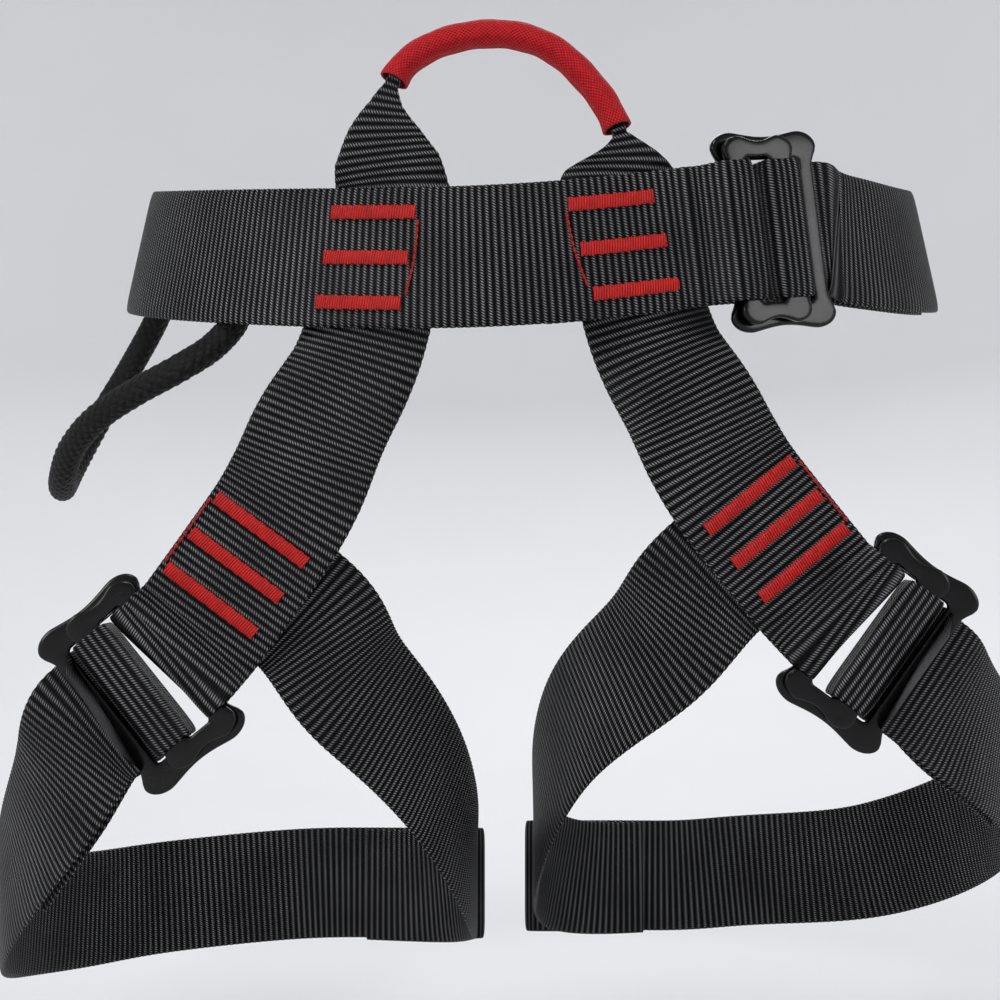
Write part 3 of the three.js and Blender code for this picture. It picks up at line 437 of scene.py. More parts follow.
def first_stretch(rows, length):
    """The run's first stretch of that length."""
    far = np.concatenate([[0], np.cumsum(np.linalg.norm(np.diff(rows[:, :3], axis=0), axis=1))])
    keep = far < length
    end = [np.interp(length, far, rows[:, c]) for c in range(rows.shape[1])]
    return np.vstack([rows[keep], end])


def place_webbing(piece, body, *nodes):
    """Gives a strap its black webbing, its moving body and the solids that it stands for."""
    piece.data.materials.append(black_webbing)
    if body:
        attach(piece, body)
    if nodes:
        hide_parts(*nodes)


# ---- waist belt ----------------------------------------------------------------------------------

def belt_run(degrees, facing):
    """Stations round the hips, the webbing's outer face turned out (1) or in (-1)."""
    places, normals = on_belt(degrees)
    return run(places, normals * facing)


def make_waist_belt():
    """One webbing: sewn end, round both bars, over the front, round the hips, into the buckle."""
    buckle = waist_buckle()
    edge = FRONT_PLATE["fixed"][0]
    sewn = run(*on_belt(np.linspace(4, 19, 4), -LAYER))
    round_bars = bent(buckle, ((edge - 10, 0), (FOLD_INNER_S, 0), (FOLD_INNER_S, FOLD_TOP_H),
                               (edge - 2.5, FOLD_TOP_H, 3), (edge - 8, 0.9, 3), (edge - 12, 0.3)))
    front = belt_run(np.linspace(20, -177.5, 41), -1)
    hip = belt_run(np.linspace(177.5, 46, 27), -1)
    into = bent(buckle, STRAP_IN)
    belt = webbing("waist belt", np.vstack([sewn, round_bars, front, hip, into]))
    place_webbing(belt, "root", "waist_belt_webbing")
    bight = webbing("waist belt bight", bent(buckle, BIGHT))
    place_webbing(bight, "waist_buckle_front", "waist_belt_bight")
    back = np.vstack([hip, into[:2]])[::-1].copy()
    back[:, 3:6] *= -1
    tail = np.vstack([bent(buckle, TAIL_OUT), below(back)[2:]])
    place_webbing(webbing("waist belt tail", first_stretch(tail, TAIL_LENGTH)), "root", "waist_belt_tail")


# ---- tie-in loop, risers and leg straps ----------------------------------------------------------

def riser_at_belt(leg, height):
    """The riser behind the belt, curled round its length, at a height above the belt's middle."""
    height = np.asarray(height, float)
    x = leg["sign"] * mix(RISER_X[0], RISER_X[1], 0.5 - height / WEB_WIDTH)
    return on_belt(belt_degrees(x), -leg["layers"] * LAYER, height)


def steer(leg, s):
    """Sideways bend of the riser in its own plane: d^2 / (d + 5), d the distance past its start."""
    d = np.maximum(0, -14.0 - np.asarray(s, float))
    return leg["sign"] * RISER_STEER * d * d / (d + 5.0)


def steer_slope(leg, s):
    """How fast that bend grows along s."""
    return steer(leg, s + 0.5) - steer(leg, s - 0.5)


def across_riser(leg, buckle, s, a, h):
    """A place a across the riser from its middle at s, and h off the buckle's plane."""
    across = leg["sign"] * np.asarray(a, float)
    return buckle.at(s - steer_slope(leg, s) * across, steer(leg, s) + across, h)


def loop_run():
    """The loop above the belt, from the right riser to the left one, folded in its middle."""
    route = np.array(LOOP_ROUTE, float)
    ends = [riser_at_belt(leg, WEB_WIDTH / 2)[0] for leg in LEGS]
    share = np.clip((route[:, 0] - ends[0][0]) / (ends[1][0] - ends[0][0]), 0, 1)
    base = mix(ends[0][None], ends[1][None], share[:, None])
    above = route[:, 1] - base[:, 2]
    f = np.clip(above / 14, 0, 1)
    flat = 1 - f * f * (3 - 2 * f)
    out = unit(np.array((0, -1, -LOOP_LEAN)))
    normals = unit(mix(out[None], on_belt(belt_degrees(route[:, 0]))[1], flat[:, None]))
    places = np.stack([route[:, 0], base[:, 1] + LOOP_LEAN * above, route[:, 1]], 1)
    return run(places, normals, route[:, 2], route[:, 3], flat * RISER_CUP)


def make_tie_in_loop():
    """The loop's webbing with both ends down behind the belt, and the red sleeve on it."""
    middle = loop_run()
    heights = np.linspace(-8, 19, 4)
    parts = []
    for leg, order in ((LEGS[0], 1), (LEGS[1], -1)):
        places, normals = riser_at_belt(leg, heights)
        parts.append(run(places, normals, cup=RISER_CUP)[::order])
    loop = webbing("tie-in loop webbing", np.vstack([parts[0], middle, parts[1]]), UP, -UP)
    place_webbing(loop, None, "tie_in_loop_webbing", "right_riser_behind_belt", "left_riser_behind_belt")
    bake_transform(loop)
    rows = smooth_run(middle, 1.0)[0]
    rows[:, :3] = eased(rows[:, :3], 6.0)
    make_sleeve(rows)


def make_sleeve(rows):
    """Woven sleeve: an oval tube round the folded webbing.

    Its half sizes swell a little at the ends; a pucker of three waves round and a crease along
    the lower edge grow toward the left end. The wall turns in at both ends.
    """
    away = [np.hypot(rows[:, 0] - x, rows[:, 2] - z) for x, z in SLEEVE_ENDS]
    rows = rows[int(away[0].argmin()):int(away[1].argmin()) + 1]
    rows, length = smooth_run(rows, 0.4)
    _, side, out = axes_along(rows)
    v = np.linspace(0, length, len(rows))
    ring = 96
    angle = (np.arange(ring) + 0.5) * 2 * np.pi / ring
    toward_end = np.exp(-((v - length) / 18) ** 2)
    swell = 1 + 0.05 * np.exp(-(v / 3) ** 2) + 0.05 * np.exp(-((v - length) / 3) ** 2)
    pucker = 0.10 * np.sin(v[:, None] * 0.55 + 2 * np.sin(angle)[None] + 1.0) \
        + 0.14 * toward_end[:, None] * np.sin(3 * angle[None] + v[:, None] * 0.3)
    crease = -0.45 * np.exp(-((angle[None] - 0.35 - 0.1 * np.sin(v[:, None] * 0.12)) / 0.12) ** 2) \
        * (0.25 + 0.75 * toward_end[:, None])
    weave = 0.05 * np.sin(v[:, None] * 2 * np.pi / 0.9) * np.sin(angle[None] * 40)

    def shell(half, ripple):
        size = [(h * swell)[:, None] + ripple for h in half]
        return (rows[:, None, :3] + side[:, None] * (size[0] * np.cos(angle))[..., None]
                + out[:, None] * (size[1] * np.sin(angle))[..., None])

    outer = shell(SLEEVE_HALF, pucker + crease + weave)
    inner = shell([h - 0.7 for h in SLEEVE_HALF], pucker + crease)
    count = len(rows)
    loops = np.concatenate([outer, inner[::-1]])
    points = loops.reshape(-1, 3)
    i, j = np.meshgrid(np.arange(2 * count), np.arange(ring), indexing="ij")
    a, b = i * ring + j, i * ring + (j + 1) % ring
    faces = np.stack([a, b, (b + ring) % len(points), (a + ring) % len(points)], -1).reshape(-1, 4)
    along = np.concatenate([v, v[::-1]])
    uv = np.stack([np.broadcast_to(angle * 5.6, (2 * count, ring)),
                   np.broadcast_to(along[:, None], (2 * count, ring))], -1)
    sleeve = put_mesh("tie-in sleeve", points, facing_out(points, faces.tolist()), uv.reshape(-1, 2))
    sleeve.data.materials.append(red_sleeve)
    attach(sleeve, "tie_in_loop")
    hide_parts("tie_in_sleeve")


def make_riser(leg):
    """From behind the belt down to the leg loop, round the buckle's fixed bars and back under itself."""
    buckle = leg_buckle(leg)
    heights = np.array((-8.2, -16, -23, -28.7, -35.5))
    places, normals = riser_at_belt(leg, heights)
    top = run(places, normals, cup=RISER_CUP)
    x, z = leg["middle"]
    half = run([(leg["sign"] * x, -117.5, z)], np.array((0, -1.0, 0)), cup=0.6 * RISER_CUP)
    sewn_s = np.array((RISER_FOOT_S - 8, RISER_FOOT_S, RISER_FOOT_S + 12,
                       RISER_FOOT_S + 26, RISER_FOOT_S + 40))
    sewn = run(buckle.at(sewn_s, steer(leg, sewn_s), LAYER), buckle.h, soft=np.array((1, 1, 0.6, 0.2, 0)))
    edge = FRONT_PLATE["fixed"][0]
    fold = bent(buckle, ((edge - 10, LAYER), (edge - 8, LAYER, 3), (edge - 2.5, FOLD_TOP_H, 3),
                         (FOLD_INNER_S, FOLD_TOP_H), (FOLD_INNER_S, 0), (edge - 12, 0)),
                lambda s: steer(leg, s))
    back_s = np.array((-42.0, -55.0, RISER_FOOT_S + 3))
    back = run(buckle.at(back_s, steer(leg, back_s), 0), -buckle.h, soft=0.0)
    piece = webbing(f"{leg['side']} riser", np.vstack([top, half, sewn, fold, back]), ease=11.0)
    place_webbing(piece, None, f"{leg['side']}_riser", f"{leg['side']}_riser_fold")
    end = buckle.at(RISER_FOOT_S - 4, 0, 0)
    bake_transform(piece)


def hem_run(leg, outer_y):
    """The rear strap's end: a half turn, then back along itself toward the outside."""
    bend = LAYER / 2
    d = np.radians(np.arange(0, 181, 30.0))
    out = np.stack([-leg["sign"] * np.sin(d), np.cos(d), 0 * d], 1)
    centre = np.array((leg["sign"] * (REAR_FOLD_X + bend), outer_y - bend, leg["rear_z"]))
    end = np.array([(leg["sign"] * (REAR_FOLD_X + REAR_HEM_LENGTH), outer_y - LAYER, leg["rear_z"])])
    return np.vstack([run(centre + out * bend, out), run(end, np.array((0, -1.0, 0)))])


def make_leg_straps(leg):
    """Inner strap from under the riser round the crotch; outer strap from the buckle round the thigh."""
    side, body, buckle = leg["side"], f"{leg['side']}_leg_loop", leg_buckle(leg)
    drops = ((20, .2), (0, .2), (-14, .4), (-22, .9), (-28, 2.2))
    under = run([across_riser(leg, buckle, LEG_BARTACK_S[1], a, -LAYER - d) for a, d in drops], buckle.h)
    inner = np.array(leg["inner"], float)
    round_crotch = run(*on_thigh(leg, inner[:, 0], inner[:, 1], inner[:, 2]))
    corner = np.array(REAR_CORNER, float)
    share = np.minimum(1, (np.arange(len(corner)) + 1.6) / 4)
    rear = np.stack([leg["sign"] * corner[:, 0], corner[:, 1], mix(inner[-1, 1], leg["rear_z"], share)], 1)
    before = np.vstack([round_crotch[-1:, :3], rear])
    along = unit(np.gradient(before, axis=0)[1:] * (1, 1, 0))
    normal = np.stack([along[:, 1], -along[:, 0], 0 * along[:, 0]], 1)
    away = (rear - (leg["sign"] * THIGH_CENTRE[0], THIGH_CENTRE[1], 0)) * (1, 1, 0)
    normal *= np.sign(np.einsum("ij,ij->i", normal, away))[:, None]
    strap = webbing(f"{side} inner leg strap", np.vstack([under, round_crotch, run(rear, normal)]), ease=9.0)
    place_webbing(strap, body, f"{side}_leg_inner_strap")

    outer_y = REAR_LAYER_Y + 2 * LAYER
    outer = np.array(leg["outer"], float)
    round_thigh = run(*on_thigh(leg, outer[:, 0], outer[:, 1], outer[:, 2]))
    start_z = mix(leg["rear_z"], outer[-1, 1], 0.3)
    back = [(96, outer_y - 1, start_z)] + [(x, outer_y, leg["rear_z"]) for x in (72, 50, 30, REAR_FOLD_X + 6)]
    behind = run(np.array(back) * (leg["sign"], 1, 1), np.array((0, 1.0, 0)))
    out_of = bent(buckle, STRAP_IN[::-1])
    out_of[:, 3:6] *= -1
    out_of[:, 3:6] = np.where(out_of[:, 3:6] @ buckle.h[:, None] < -0.5, -out_of[:, 3:6], out_of[:, 3:6])
    outer_run = np.vstack([out_of, round_thigh, behind, hem_run(leg, outer_y)])
    place_webbing(webbing(f"{side} outer leg strap", outer_run), body, f"{side}_leg_outer_strap")

    place_webbing(webbing(f"{side} leg bight", bent(buckle, BIGHT)),
                  f"{side}_leg_buckle_front", f"{side}_leg_strap_bight")
    lower = below(smooth_run(np.vstack([out_of[-2:], round_thigh]), 6.0)[0])
    tail = np.vstack([bent(buckle, TAIL_OUT), lower[2:]])
    place_webbing(webbing(f"{side} leg strap tail", first_stretch(tail, TAIL_LENGTH)),
                  body, f"{side}_leg_strap_tail")


# ---- buckle plates -------------------------------------------------------------------------------

def make_plate(name, plate, buckle, height, body, node, dish):
    """A pressed steel ring plate.

    Round the ring, the outline is a rounded rectangle pushed out to a lobe at each corner and
    drawn in at the middle of both ends; the window is a smaller rounded rectangle. Across the
    ring, a flattened oval section joins outline to window. Both ends bend up by `dish`.
    """
    low, high = plate["fixed"][0], plate["outer"][1]
    window = (plate["fixed"][1], plate["outer"][0])
    end, per = plate["length"] / 2, 44

    def rounded(lo, hi, half, radius):
        """Four sides and four quarter circles, evenly stepped, anticlockwise."""
        corners = ((hi, -half, -90), (hi, half, 0), (lo, half, 90), (lo, -half, 180))
        out = []
        for k, (s, a, start) in enumerate(corners):
            centre = np.array((s - math.copysign(radius, s - (lo + hi) / 2), a - math.copysign(radius, a)))
            turn = np.radians(np.linspace(start, start + 90, 12))
            arc = centre + radius * np.stack([np.cos(turn), np.sin(turn)], 1)
            nxt = corners[(k + 1) % 4]
            centre2 = np.array((nxt[0] - math.copysign(radius, nxt[0] - (lo + hi) / 2),
                                nxt[1] - math.copysign(radius, nxt[1])))
            begin = np.radians(nxt[2])
            goal = centre2 + radius * np.array((math.cos(begin), math.sin(begin)))
            side = mix(arc[-1][None], goal[None], np.linspace(0, 1, per - 10)[1:-1, None])
            out += [arc, side]
        return np.vstack(out)

    outline = rounded(low, high, end, plate["corner"])
    hole = rounded(window[0], window[1], WINDOW_LENGTH / 2, 1.6)
    s, a = outline[:, 0], outline[:, 1]
    near_end = np.clip((np.abs(a) - (end - 2.2 * plate["corner"])) / (1.2 * plate["corner"]), 0, 1)
    sign = (np.where(s > (low + high) / 2, 1, -1)
            * (np.abs(s - (low + high) / 2) > (high - low) / 2 - plate["corner"]))
    edge = np.clip((np.abs(s - (low + high) / 2) - ((high - low) / 2 - plate["corner"]))
                   / plate["corner"], 0, 1)
    outline[:, 0] = s + sign * plate["lobe"] * near_end ** 2 * (3 - 2 * near_end) * edge
    inward = 1 - ((s - (low + high) / 2) / ((high - low) / 2 - plate["corner"])) ** 2
    outline[:, 1] = a - np.sign(a) * (np.abs(a) > end - 1.0) * plate["waist"] * np.clip(inward, 0, 1) ** 1.5
    section = 20
    phi = np.arange(section) * 2 * np.pi / section
    cos, sin = np.cos(phi), np.sin(phi)
    wide = np.sign(cos) * np.abs(cos) ** 0.42
    tall = np.sign(sin) * np.abs(sin) ** 0.42
    middle, half = (outline + hole) / 2, (outline - hole) / 2
    flat = middle[:, None] + half[:, None] * wide[None, :, None]
    lift = height + dish * (flat[..., 1] / end) ** 2 + PLATE_THICKNESS / 2 * tall[None]
    points = buckle.at(flat[..., 0], flat[..., 1], lift).reshape(-1, 3)
    count = len(outline)
    i, j = np.meshgrid(np.arange(count), np.arange(section), indexing="ij")
    here, there = i * section, ((i + 1) % count) * section
    nxt = (j + 1) % section
    faces = np.stack([here + j, here + nxt, there + nxt, there + j], -1).reshape(-1, 4)
    piece = put_mesh(name, points, facing_out(points, faces.tolist()))
    piece.data.materials.append(black_enamel)
    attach(piece, body)
    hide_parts(node)


def make_buckles():
    """Back plate on the strap's body, front plate on its own tilting body, three times."""
    spots = [("waist", waist_buckle(), "root", "waist_buckle_front", "waist_buckle")]
    for leg in LEGS:
        side = leg["side"]
        spots.append((f"{side} leg", leg_buckle(leg), f"{side}_leg_loop", f"{side}_leg_buckle_front",
                      f"{side}_leg_buckle"))
    for word, buckle, back_body, front_body, node in spots:
        make_plate(f"{word} back plate", BACK_PLATE, buckle, BACK_PLATE_H, back_body,
                   f"{node}_back_plate", 0.0)
        make_plate(f"{word} front plate", FRONT_PLATE, buckle, FRONT_PLATE_H, front_body,
                   f"{node}_front_plate", 0.5)


# ---- stitching -----------------------------------------------------------------------------------

def make_bartack(name, places, normals, body, node):
    """Satin stitch: throws of thread side by side across a bar.

    Along, one ridge |sin| per throw; across, the ridge rounds down to both sides and the
    ends of the throws stand out and in by turns. The throws slant a little.
    """
    rows, length = smooth_run(run(places, normals), THREAD_PITCH / 7)
    _, side, out = axes_along(rows)
    v = np.linspace(0, length, len(rows))
    u = np.linspace(-1, 1, 13)
    phase = v[:, None] / THREAD_PITCH + 0.35 * u[None]
    ridge = np.abs(np.sin(np.pi * phase)) ** 0.7
    jag = 1 + 0.09 * np.sin(np.pi * phase) * np.sin(2.1 * v[:, None])
    ends = np.clip(np.minimum(v, length - v) / 0.7, 0, 1) ** 0.5
    height = (0.14 + 0.62 * (1 - np.abs(u) ** 3.0)[None] * (0.45 + 0.55 * ridge)) * ends[:, None]
    across = u[None] * BARTACK_WIDTH / 2 * jag
    top = rows[:, None, :3] + side[:, None] * across[..., None] + out[:, None] * height[..., None]
    foot = rows[:, None, :3] + side[:, None] * (across * 0.97)[..., None] - out[:, None] * 0.12
    ring = np.concatenate([top, foot[:, ::-1]], 1)
    points = ring.reshape(-1, 3)
    faces = tube_faces(len(rows), ring.shape[1])
    uv = np.stack([np.concatenate([across, across[:, ::-1]], 1),
                   np.broadcast_to(v[:, None], (len(rows), ring.shape[1]))], -1)
    finish_stitch(put_mesh(name, points, facing_out(points, faces), uv.reshape(-1, 2)), body, node)


def make_seam(name, places, normals, body, node, stitches):
    """A row of single stitches: each a fat thread that dives at both ends, on a thin bed thread."""
    rows, length = smooth_run(run(places, normals), 0.25)
    _, side, out = axes_along(rows)
    v = np.linspace(0, length, len(rows))
    arch = np.abs(np.sin(np.pi * v / length * stitches)) ** 0.5
    ring = 10
    angle = np.arange(ring) * 2 * np.pi / ring
    radius = (0.04 + 0.32 * arch)[:, None]
    lift = (-0.10 + 0.34 * arch)[:, None] + radius * np.sin(angle)
    points = (rows[:, None, :3] + side[:, None] * (1.25 * radius * np.cos(angle))[..., None]
              + out[:, None] * lift[..., None]).reshape(-1, 3)
    uv = np.stack([np.broadcast_to(angle, (len(rows), ring)),
                   np.broadcast_to(v[:, None], (len(rows), ring))], -1)
    finish_stitch(put_mesh(name, points, facing_out(points, tube_faces(len(rows), ring)), uv.reshape(-1, 2)),
                  body, node)


def finish_stitch(piece, body, node):
    """Red thread, riding with the webbing that it is sewn through."""
    piece.data.materials.append(red_thread)
    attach(piece, body)
    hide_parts(node)


def make_stitching(leg):
    """Three bars through belt and riser, three through riser and leg strap, two at the rear."""
    side, sign, body, buckle = leg["side"], leg["sign"], f"{leg['side']}_leg_loop", leg_buckle(leg)
    inner_x, step = (-28.6, -2.3) if sign < 0 else (19.4, 4.0)
    for row in range(3):
        x = inner_x + row * step + sign * np.linspace(0, 27.5, 5)
        make_bartack(f"{side} waist bartack {row + 1}",
                     *on_belt(belt_degrees(x), STITCH_H, (1 - row) * BARTACK_PITCH), "root",
                     f"{side}_waist_bartack_{row + 1}")
    f = np.array((-1.0, 0, 1))
    x = inner_x + (1 - f * 0.85) * step + sign * 0.4 - np.array((0, sign * 0.8, 0)) - sign * 1.6
    make_seam(f"{side} waist seam", *on_belt(belt_degrees(x), STITCH_H, f * 12.0), "root",
              f"{side}_waist_seam", 11)
    high = LAYER + STITCH_H
    for row, s in enumerate(LEG_BARTACK_S):
        places = across_riser(leg, buckle, s, 2 + np.linspace(-17.5, 17.5, 3), high)
        make_bartack(f"{side} leg bartack {row + 1}", places, buckle.h, body, f"{side}_leg_bartack_{row + 1}")
    places = np.array([across_riser(leg, buckle, s, 20.7, high) for s in (-61, -48.5, -36)])
    make_seam(f"{side} leg seam", places, buckle.h, body, f"{side}_leg_seam", 10)
    y = REAR_LAYER_Y + 2 * LAYER + STITCH_H
    for row, x in enumerate((REAR_FOLD_X + 14, REAR_FOLD_X + 30)):
        places = [(sign * x, y, leg["rear_z"] + z) for z in (-15, 0, 15)]
        make_bartack(f"{side} rear bartack {row + 1}", places, np.array((0, 1.0, 0)), body,
                     f"{side}_rear_bartack_{row + 1}")


# ---- gear loop -----------------------------------------------------------------------------------

def make_gear_loop():
    """Braided cord: a tube whose radius carries four pairs of strands each way, one over, one under.

    With a = 4 (angle + turn) and b = 4 (angle - turn), cells of a and b alternate; in each the upper
    strand is the root of |sin| across it, tapered where it dives.
    """
    sewn = -(WEB_THICKNESS + CORD_DIAMETER) / 2 - 0.18 * CORD_DIAMETER
    knots = [on_belt(-43, sewn, -10)[0], on_belt(-44, sewn, -20)[0], *np.array(CORD_ROUTE, float),
             on_belt(-97, sewn, -22)[0], on_belt(-98, sewn, -10)[0]]
    rows, length = smooth_run(run(knots, np.array((-0.7, -0.7, 0.2))), 0.55)
    _, side, out = axes_along(rows)
    v = np.linspace(0, length, len(rows))
    ring = 96
    angle = np.arange(ring) * 2 * np.pi / ring
    turn = v[:, None] * 2 * np.pi / 30
    a, b = 4 * (angle[None] + turn), 4 * (angle[None] - turn)
    over = (np.floor(a / np.pi) + np.floor(b / np.pi)) % 2
    sa, sb = np.abs(np.sin(a)), np.abs(np.sin(b))
    strand = np.where(over > 0, sa ** 0.5 * sb ** 0.3, sb ** 0.5 * sa ** 0.3)
    radius = CORD_DIAMETER / 2 * (0.86 + 0.16 * strand)
    points = (rows[:, None, :3] + side[:, None] * (radius * np.cos(angle))[..., None]
              + out[:, None] * (radius * np.sin(angle))[..., None]).reshape(-1, 3)
    uv = np.stack([np.broadcast_to(angle * CORD_DIAMETER / 2, (len(rows), ring)),
                   np.broadcast_to(v[:, None], (len(rows), ring))], -1)
    cord = put_mesh("gear loop", points, facing_out(points, tube_faces(len(rows), ring)), uv.reshape(-1, 2))
    cord.data.materials.append(black_cord)
    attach(cord, "gear_loop")
    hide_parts("gear_loop_cord")


# ---- materials -----------------------------------------------------------------------------------

def linear(code):
    """sRGB hex colour as linear red, green, blue and 1."""
    c = np.array([int(code[i:i + 2], 16) for i in (0, 2, 4)]) / 255
    return (*np.where(c <= 0.04045, c / 12.92, ((c + 0.055) / 1.055) ** 2.4), 1.0)


def node(tree, kind, inputs=None, **settings):
    """Adds a node; an input is a number, a colour or another node's output."""
    new = tree.nodes.new(kind)
    for key, value in settings.items():
        setattr(new, key, value)
    for key, value in (inputs or {}).items():
        if isinstance(value, bpy.types.NodeSocket):
            tree.links.new(value, new.inputs[key])
        else:
            new.inputs[key].default_value = value
    return new


def math_node(tree, operation, a, b=0.0):
    """One arithmetic step; returns its output."""
    return node(tree, "ShaderNodeMath", {0: a, 1: b}, operation=operation).outputs[0]


def new_finish(name, roughness, **constants):
    """A material with its shader; constants go straight on the shader's sockets."""
    material = bpy.data.materials.new(name)
    material.use_nodes = True
    tree = material.node_tree
    shader = tree.nodes["Principled BSDF"]
    shader.inputs["Roughness"].default_value = roughness
    for key, value in constants.items():
        shader.inputs[key.replace("_", " ")].default_value = value
    return material, tree, shader


def weave_axes(tree):
    """Distances across and along the piece, in metres."""
    uv = node(tree, "ShaderNodeUVMap", uv_map="weave")
    split = node(tree, "ShaderNodeSeparateXYZ", {0: uv.outputs[0]})
    return split.outputs[0], split.outputs[1]


def waves(tree, distance, pitch):
    """sin of 2 pi distance over pitch, both in metres."""
    return math_node(tree, "SINE", math_node(tree, "MULTIPLY", distance, 2 * math.pi / pitch))


def two_tones(tree, factor, dark, light):
    """Colour between two hexes by a factor."""
    mixer = node(tree, "ShaderNodeMix", {0: factor, 6: linear(dark), 7: linear(light)}, data_type="RGBA")
    return mixer.outputs[2]


def specks(tree, scale, detail=3.0):
    """Even noise on Object coordinates, features about 1 / scale metres wide."""
    place = node(tree, "ShaderNodeTexCoord")
    sockets = {"Vector": place.outputs["Object"], "Scale": scale, "Detail": detail}
    return node(tree, "ShaderNodeTexNoise", sockets).outputs[0]


def bump(tree, shader, height, distance, strength=1.0):
    """Raises the shader's surface by a height pattern."""
    raised = node(tree, "ShaderNodeBump", {"Height": height, "Distance": distance, "Strength": strength})
    tree.links.new(raised.outputs[0], shader.inputs["Normal"])


def polyester_webbing():
    """Dyed black polyester with a painted highlight: the slanted threads over each weft rib are painted light
    at the top of the rib, black between.
    """
    material, tree, shader = new_finish("black polyester webbing", 0.42, Specular_IOR_Level=0.1)
    across, along = weave_axes(tree)
    pitch = RIB_PITCH * 0.001
    # Painted highlight: brightest at the top of each weft rib, where the glossy threads would catch the
    # light.
    crown_highlight = math_node(tree, "POWER", math_node(tree, "ABSOLUTE", waves(tree, along, 2 * pitch)), 5.0)
    slant = math_node(tree, "ADD", across, math_node(tree, "MULTIPLY", along, 0.55))
    thread = math_node(tree, "MULTIPLY_ADD", waves(tree, slant, 0.0009), 0.5)
    thread.node.inputs[2].default_value = 0.5
    fibre = specks(tree, 900)
    # Random patchiness in the strength of the painted highlight.
    highlight_patchiness = specks(tree, 45)
    height = math_node(tree, "ADD", math_node(tree, "MULTIPLY", thread, 0.9),
                       math_node(tree, "MULTIPLY", fibre, 0.5))
    tone = math_node(tree, "MULTIPLY", crown_highlight, math_node(tree, "POWER", thread, 1.6))
    tone = math_node(tree, "MULTIPLY", tone, math_node(tree, "ADD", highlight_patchiness, 0.25))
    # Light grey is the painted highlight on the thread tops; near black is the webbing's own colour.
    tree.links.new(two_tones(tree, tone, "010101", "98989c"), shader.inputs["Base Color"])
    bump(tree, shader, height, 0.00030, 0.9)
    return material


def bartack_thread():
    """Bonded red polyester thread with painted shade: each throw of a bar is painted bright on top and dark
    where it sinks.
    """
    material, tree, shader = new_finish("red bonded thread", 0.38, Specular_IOR_Level=0.35)
    across, along = weave_axes(tree)
    lean = math_node(tree, "MULTIPLY", across, 0.35 * THREAD_PITCH / (BARTACK_WIDTH / 2))
    leaning = math_node(tree, "ADD", along, lean)
    throw = math_node(tree, "ABSOLUTE", waves(tree, leaning, 0.002 * THREAD_PITCH))
    twist = waves(tree, math_node(tree, "ADD", across, math_node(tree, "MULTIPLY", along, 1.7)), 0.0005)
    dirt = specks(tree, 420)
    # Painted shade: the colour follows each throw's ridge and is dark in the sinks between throws, with
    # random dirt and twist over it.
    tone = math_node(tree, "MULTIPLY", math_node(tree, "POWER", throw, 0.7),
                     math_node(tree, "ADD", math_node(tree, "MULTIPLY", twist, 0.12),
                               math_node(tree, "ADD", dirt, 0.45)))
    # Dark red is painted shade between the throws; bright red is the thread's own colour on the tops.
    tree.links.new(two_tones(tree, tone, "3c0203", "d41a14"), shader.inputs["Base Color"])
    bump(tree, shader, math_node(tree, "ADD", throw, math_node(tree, "MULTIPLY", twist, 0.3)), 0.00025, 0.8)
    return material


def sleeve_cloth():
    """Plain-woven nylon: warp and weft crowns alternate as small raised dots."""
    material, tree, shader = new_finish("red woven nylon sleeve", 0.60,
                                        Specular_IOR_Level=0.15, Sheen_Weight=0.03)
    across, along = weave_axes(tree)
    dots = math_node(tree, "MULTIPLY", waves(tree, across, 0.0014), waves(tree, along, 0.0014))
    fibre = specks(tree, 700)
    tone = math_node(tree, "ADD", math_node(tree, "MULTIPLY", dots, 0.7), fibre)
    tree.links.new(two_tones(tree, tone, "6a060b", "c8141e"), shader.inputs["Base Color"])
    bump(tree, shader, math_node(tree, "ADD", dots, fibre), 0.00018, 0.9)
    return material


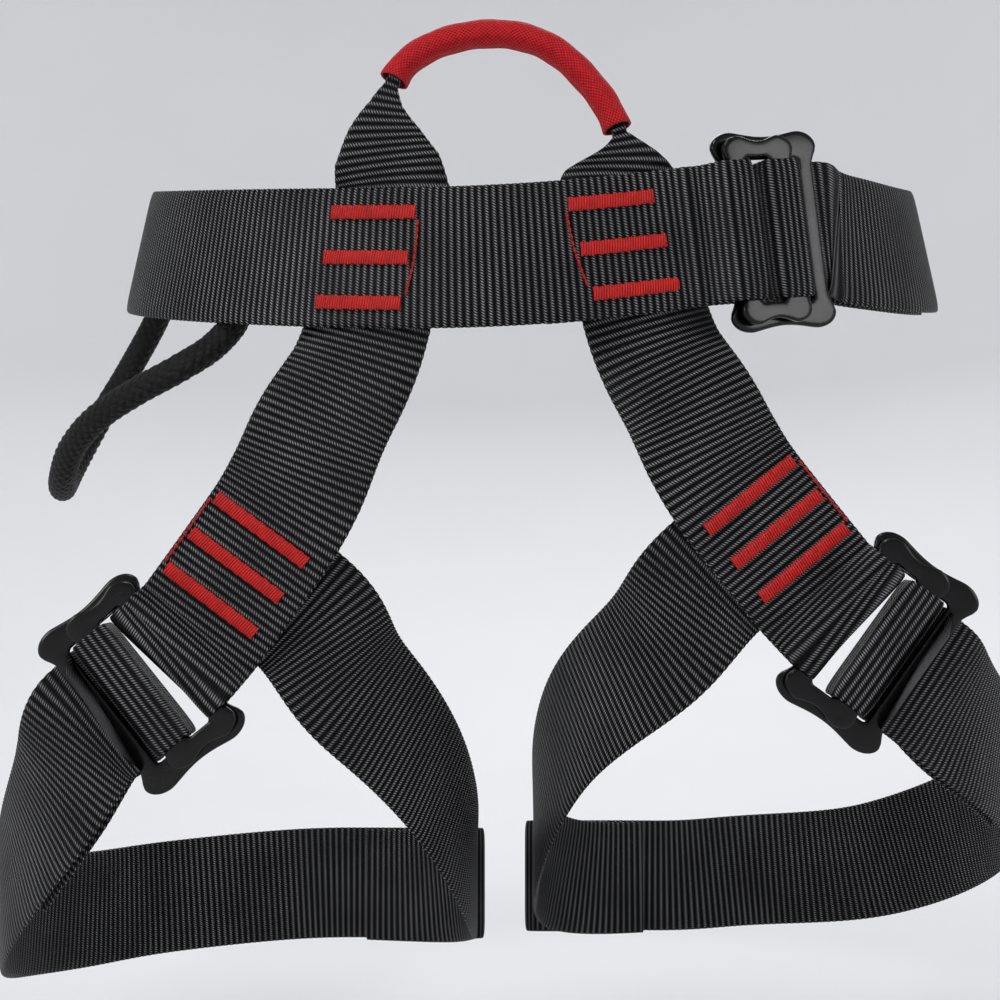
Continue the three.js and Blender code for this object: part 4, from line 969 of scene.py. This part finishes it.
def enamelled_steel():
    """Black enamel over pressed steel: satin gloss with a faint orange peel."""
    material, tree, shader = new_finish("black enamelled steel", 0.25, Specular_IOR_Level=0.22,
                                        Coat_Weight=0.1, Coat_Roughness=0.1)
    peel = specks(tree, 380, 2.0)
    tree.links.new(two_tones(tree, specks(tree, 60), "020203", "070708"), shader.inputs["Base Color"])
    rough = node(tree, "ShaderNodeMapRange", {0: specks(tree, 140), 3: 0.20, 4: 0.32})
    tree.links.new(rough.outputs[0], shader.inputs["Roughness"])
    bump(tree, shader, peel, 0.00007, 0.5)
    return material


def braided_cord():
    """Braided polyester cover: fine filaments run along each strand."""
    material, tree, shader = new_finish("black braided cord", 0.45, Specular_IOR_Level=0.2)
    across, along = weave_axes(tree)
    fine = math_node(tree, "MULTIPLY", waves(tree, math_node(tree, "ADD", across, along), 0.0006),
                     waves(tree, math_node(tree, "SUBTRACT", across, along), 0.0006))
    fibre = specks(tree, 800)
    tone = math_node(tree, "ADD", math_node(tree, "MULTIPLY", fine, 0.3), fibre)
    tree.links.new(two_tones(tree, tone, "010101", "151516"), shader.inputs["Base Color"])
    bump(tree, shader, fine, 0.00012, 0.6)
    return material


def backdrop_paper():
    """Seamless studio paper, pale grey."""
    material, tree, shader = new_finish("pale studio paper", 0.9)
    tree.links.new(two_tones(tree, specks(tree, 6), "e2e2e4", "e8e8ea"), shader.inputs["Base Color"])
    return material


def make_floor():
    """A round pale sheet: level under the saddle, sweeping up to a rim all round, height r^4."""
    turn = np.radians(np.arange(0, 360, 5.0))
    r = np.linspace(0.02, 1, 40)[:, None]
    points = np.stack([2600 * r * np.cos(turn), 2600 * r * np.sin(turn),
                       -330.0 + 2200 * r ** 4 + 0 * turn], -1).reshape(-1, 3)
    ring = len(turn)
    i, j = np.meshgrid(np.arange(39), np.arange(ring), indexing="ij")
    a, b = i * ring + j, i * ring + (j + 1) % ring
    faces = np.stack([a, a + ring, b + ring, b], -1).reshape(-1, 4).tolist() + [list(range(ring))]
    floor = put_mesh("floor", points, faces)
    floor.data.materials.append(backdrop_paper())


# ---- the whole saddle ----------------------------------------------------------------------------

black_webbing = polyester_webbing()
red_thread = bartack_thread()
red_sleeve = sleeve_cloth()
black_enamel = enamelled_steel()
black_cord = braided_cord()

set_camera()
make_gear_loop()
set_light()
make_floor()
make_waist_belt()
make_tie_in_loop()
for leg in LEGS:
    make_riser(leg)
    make_leg_straps(leg)
    make_stitching(leg)
make_buckles()
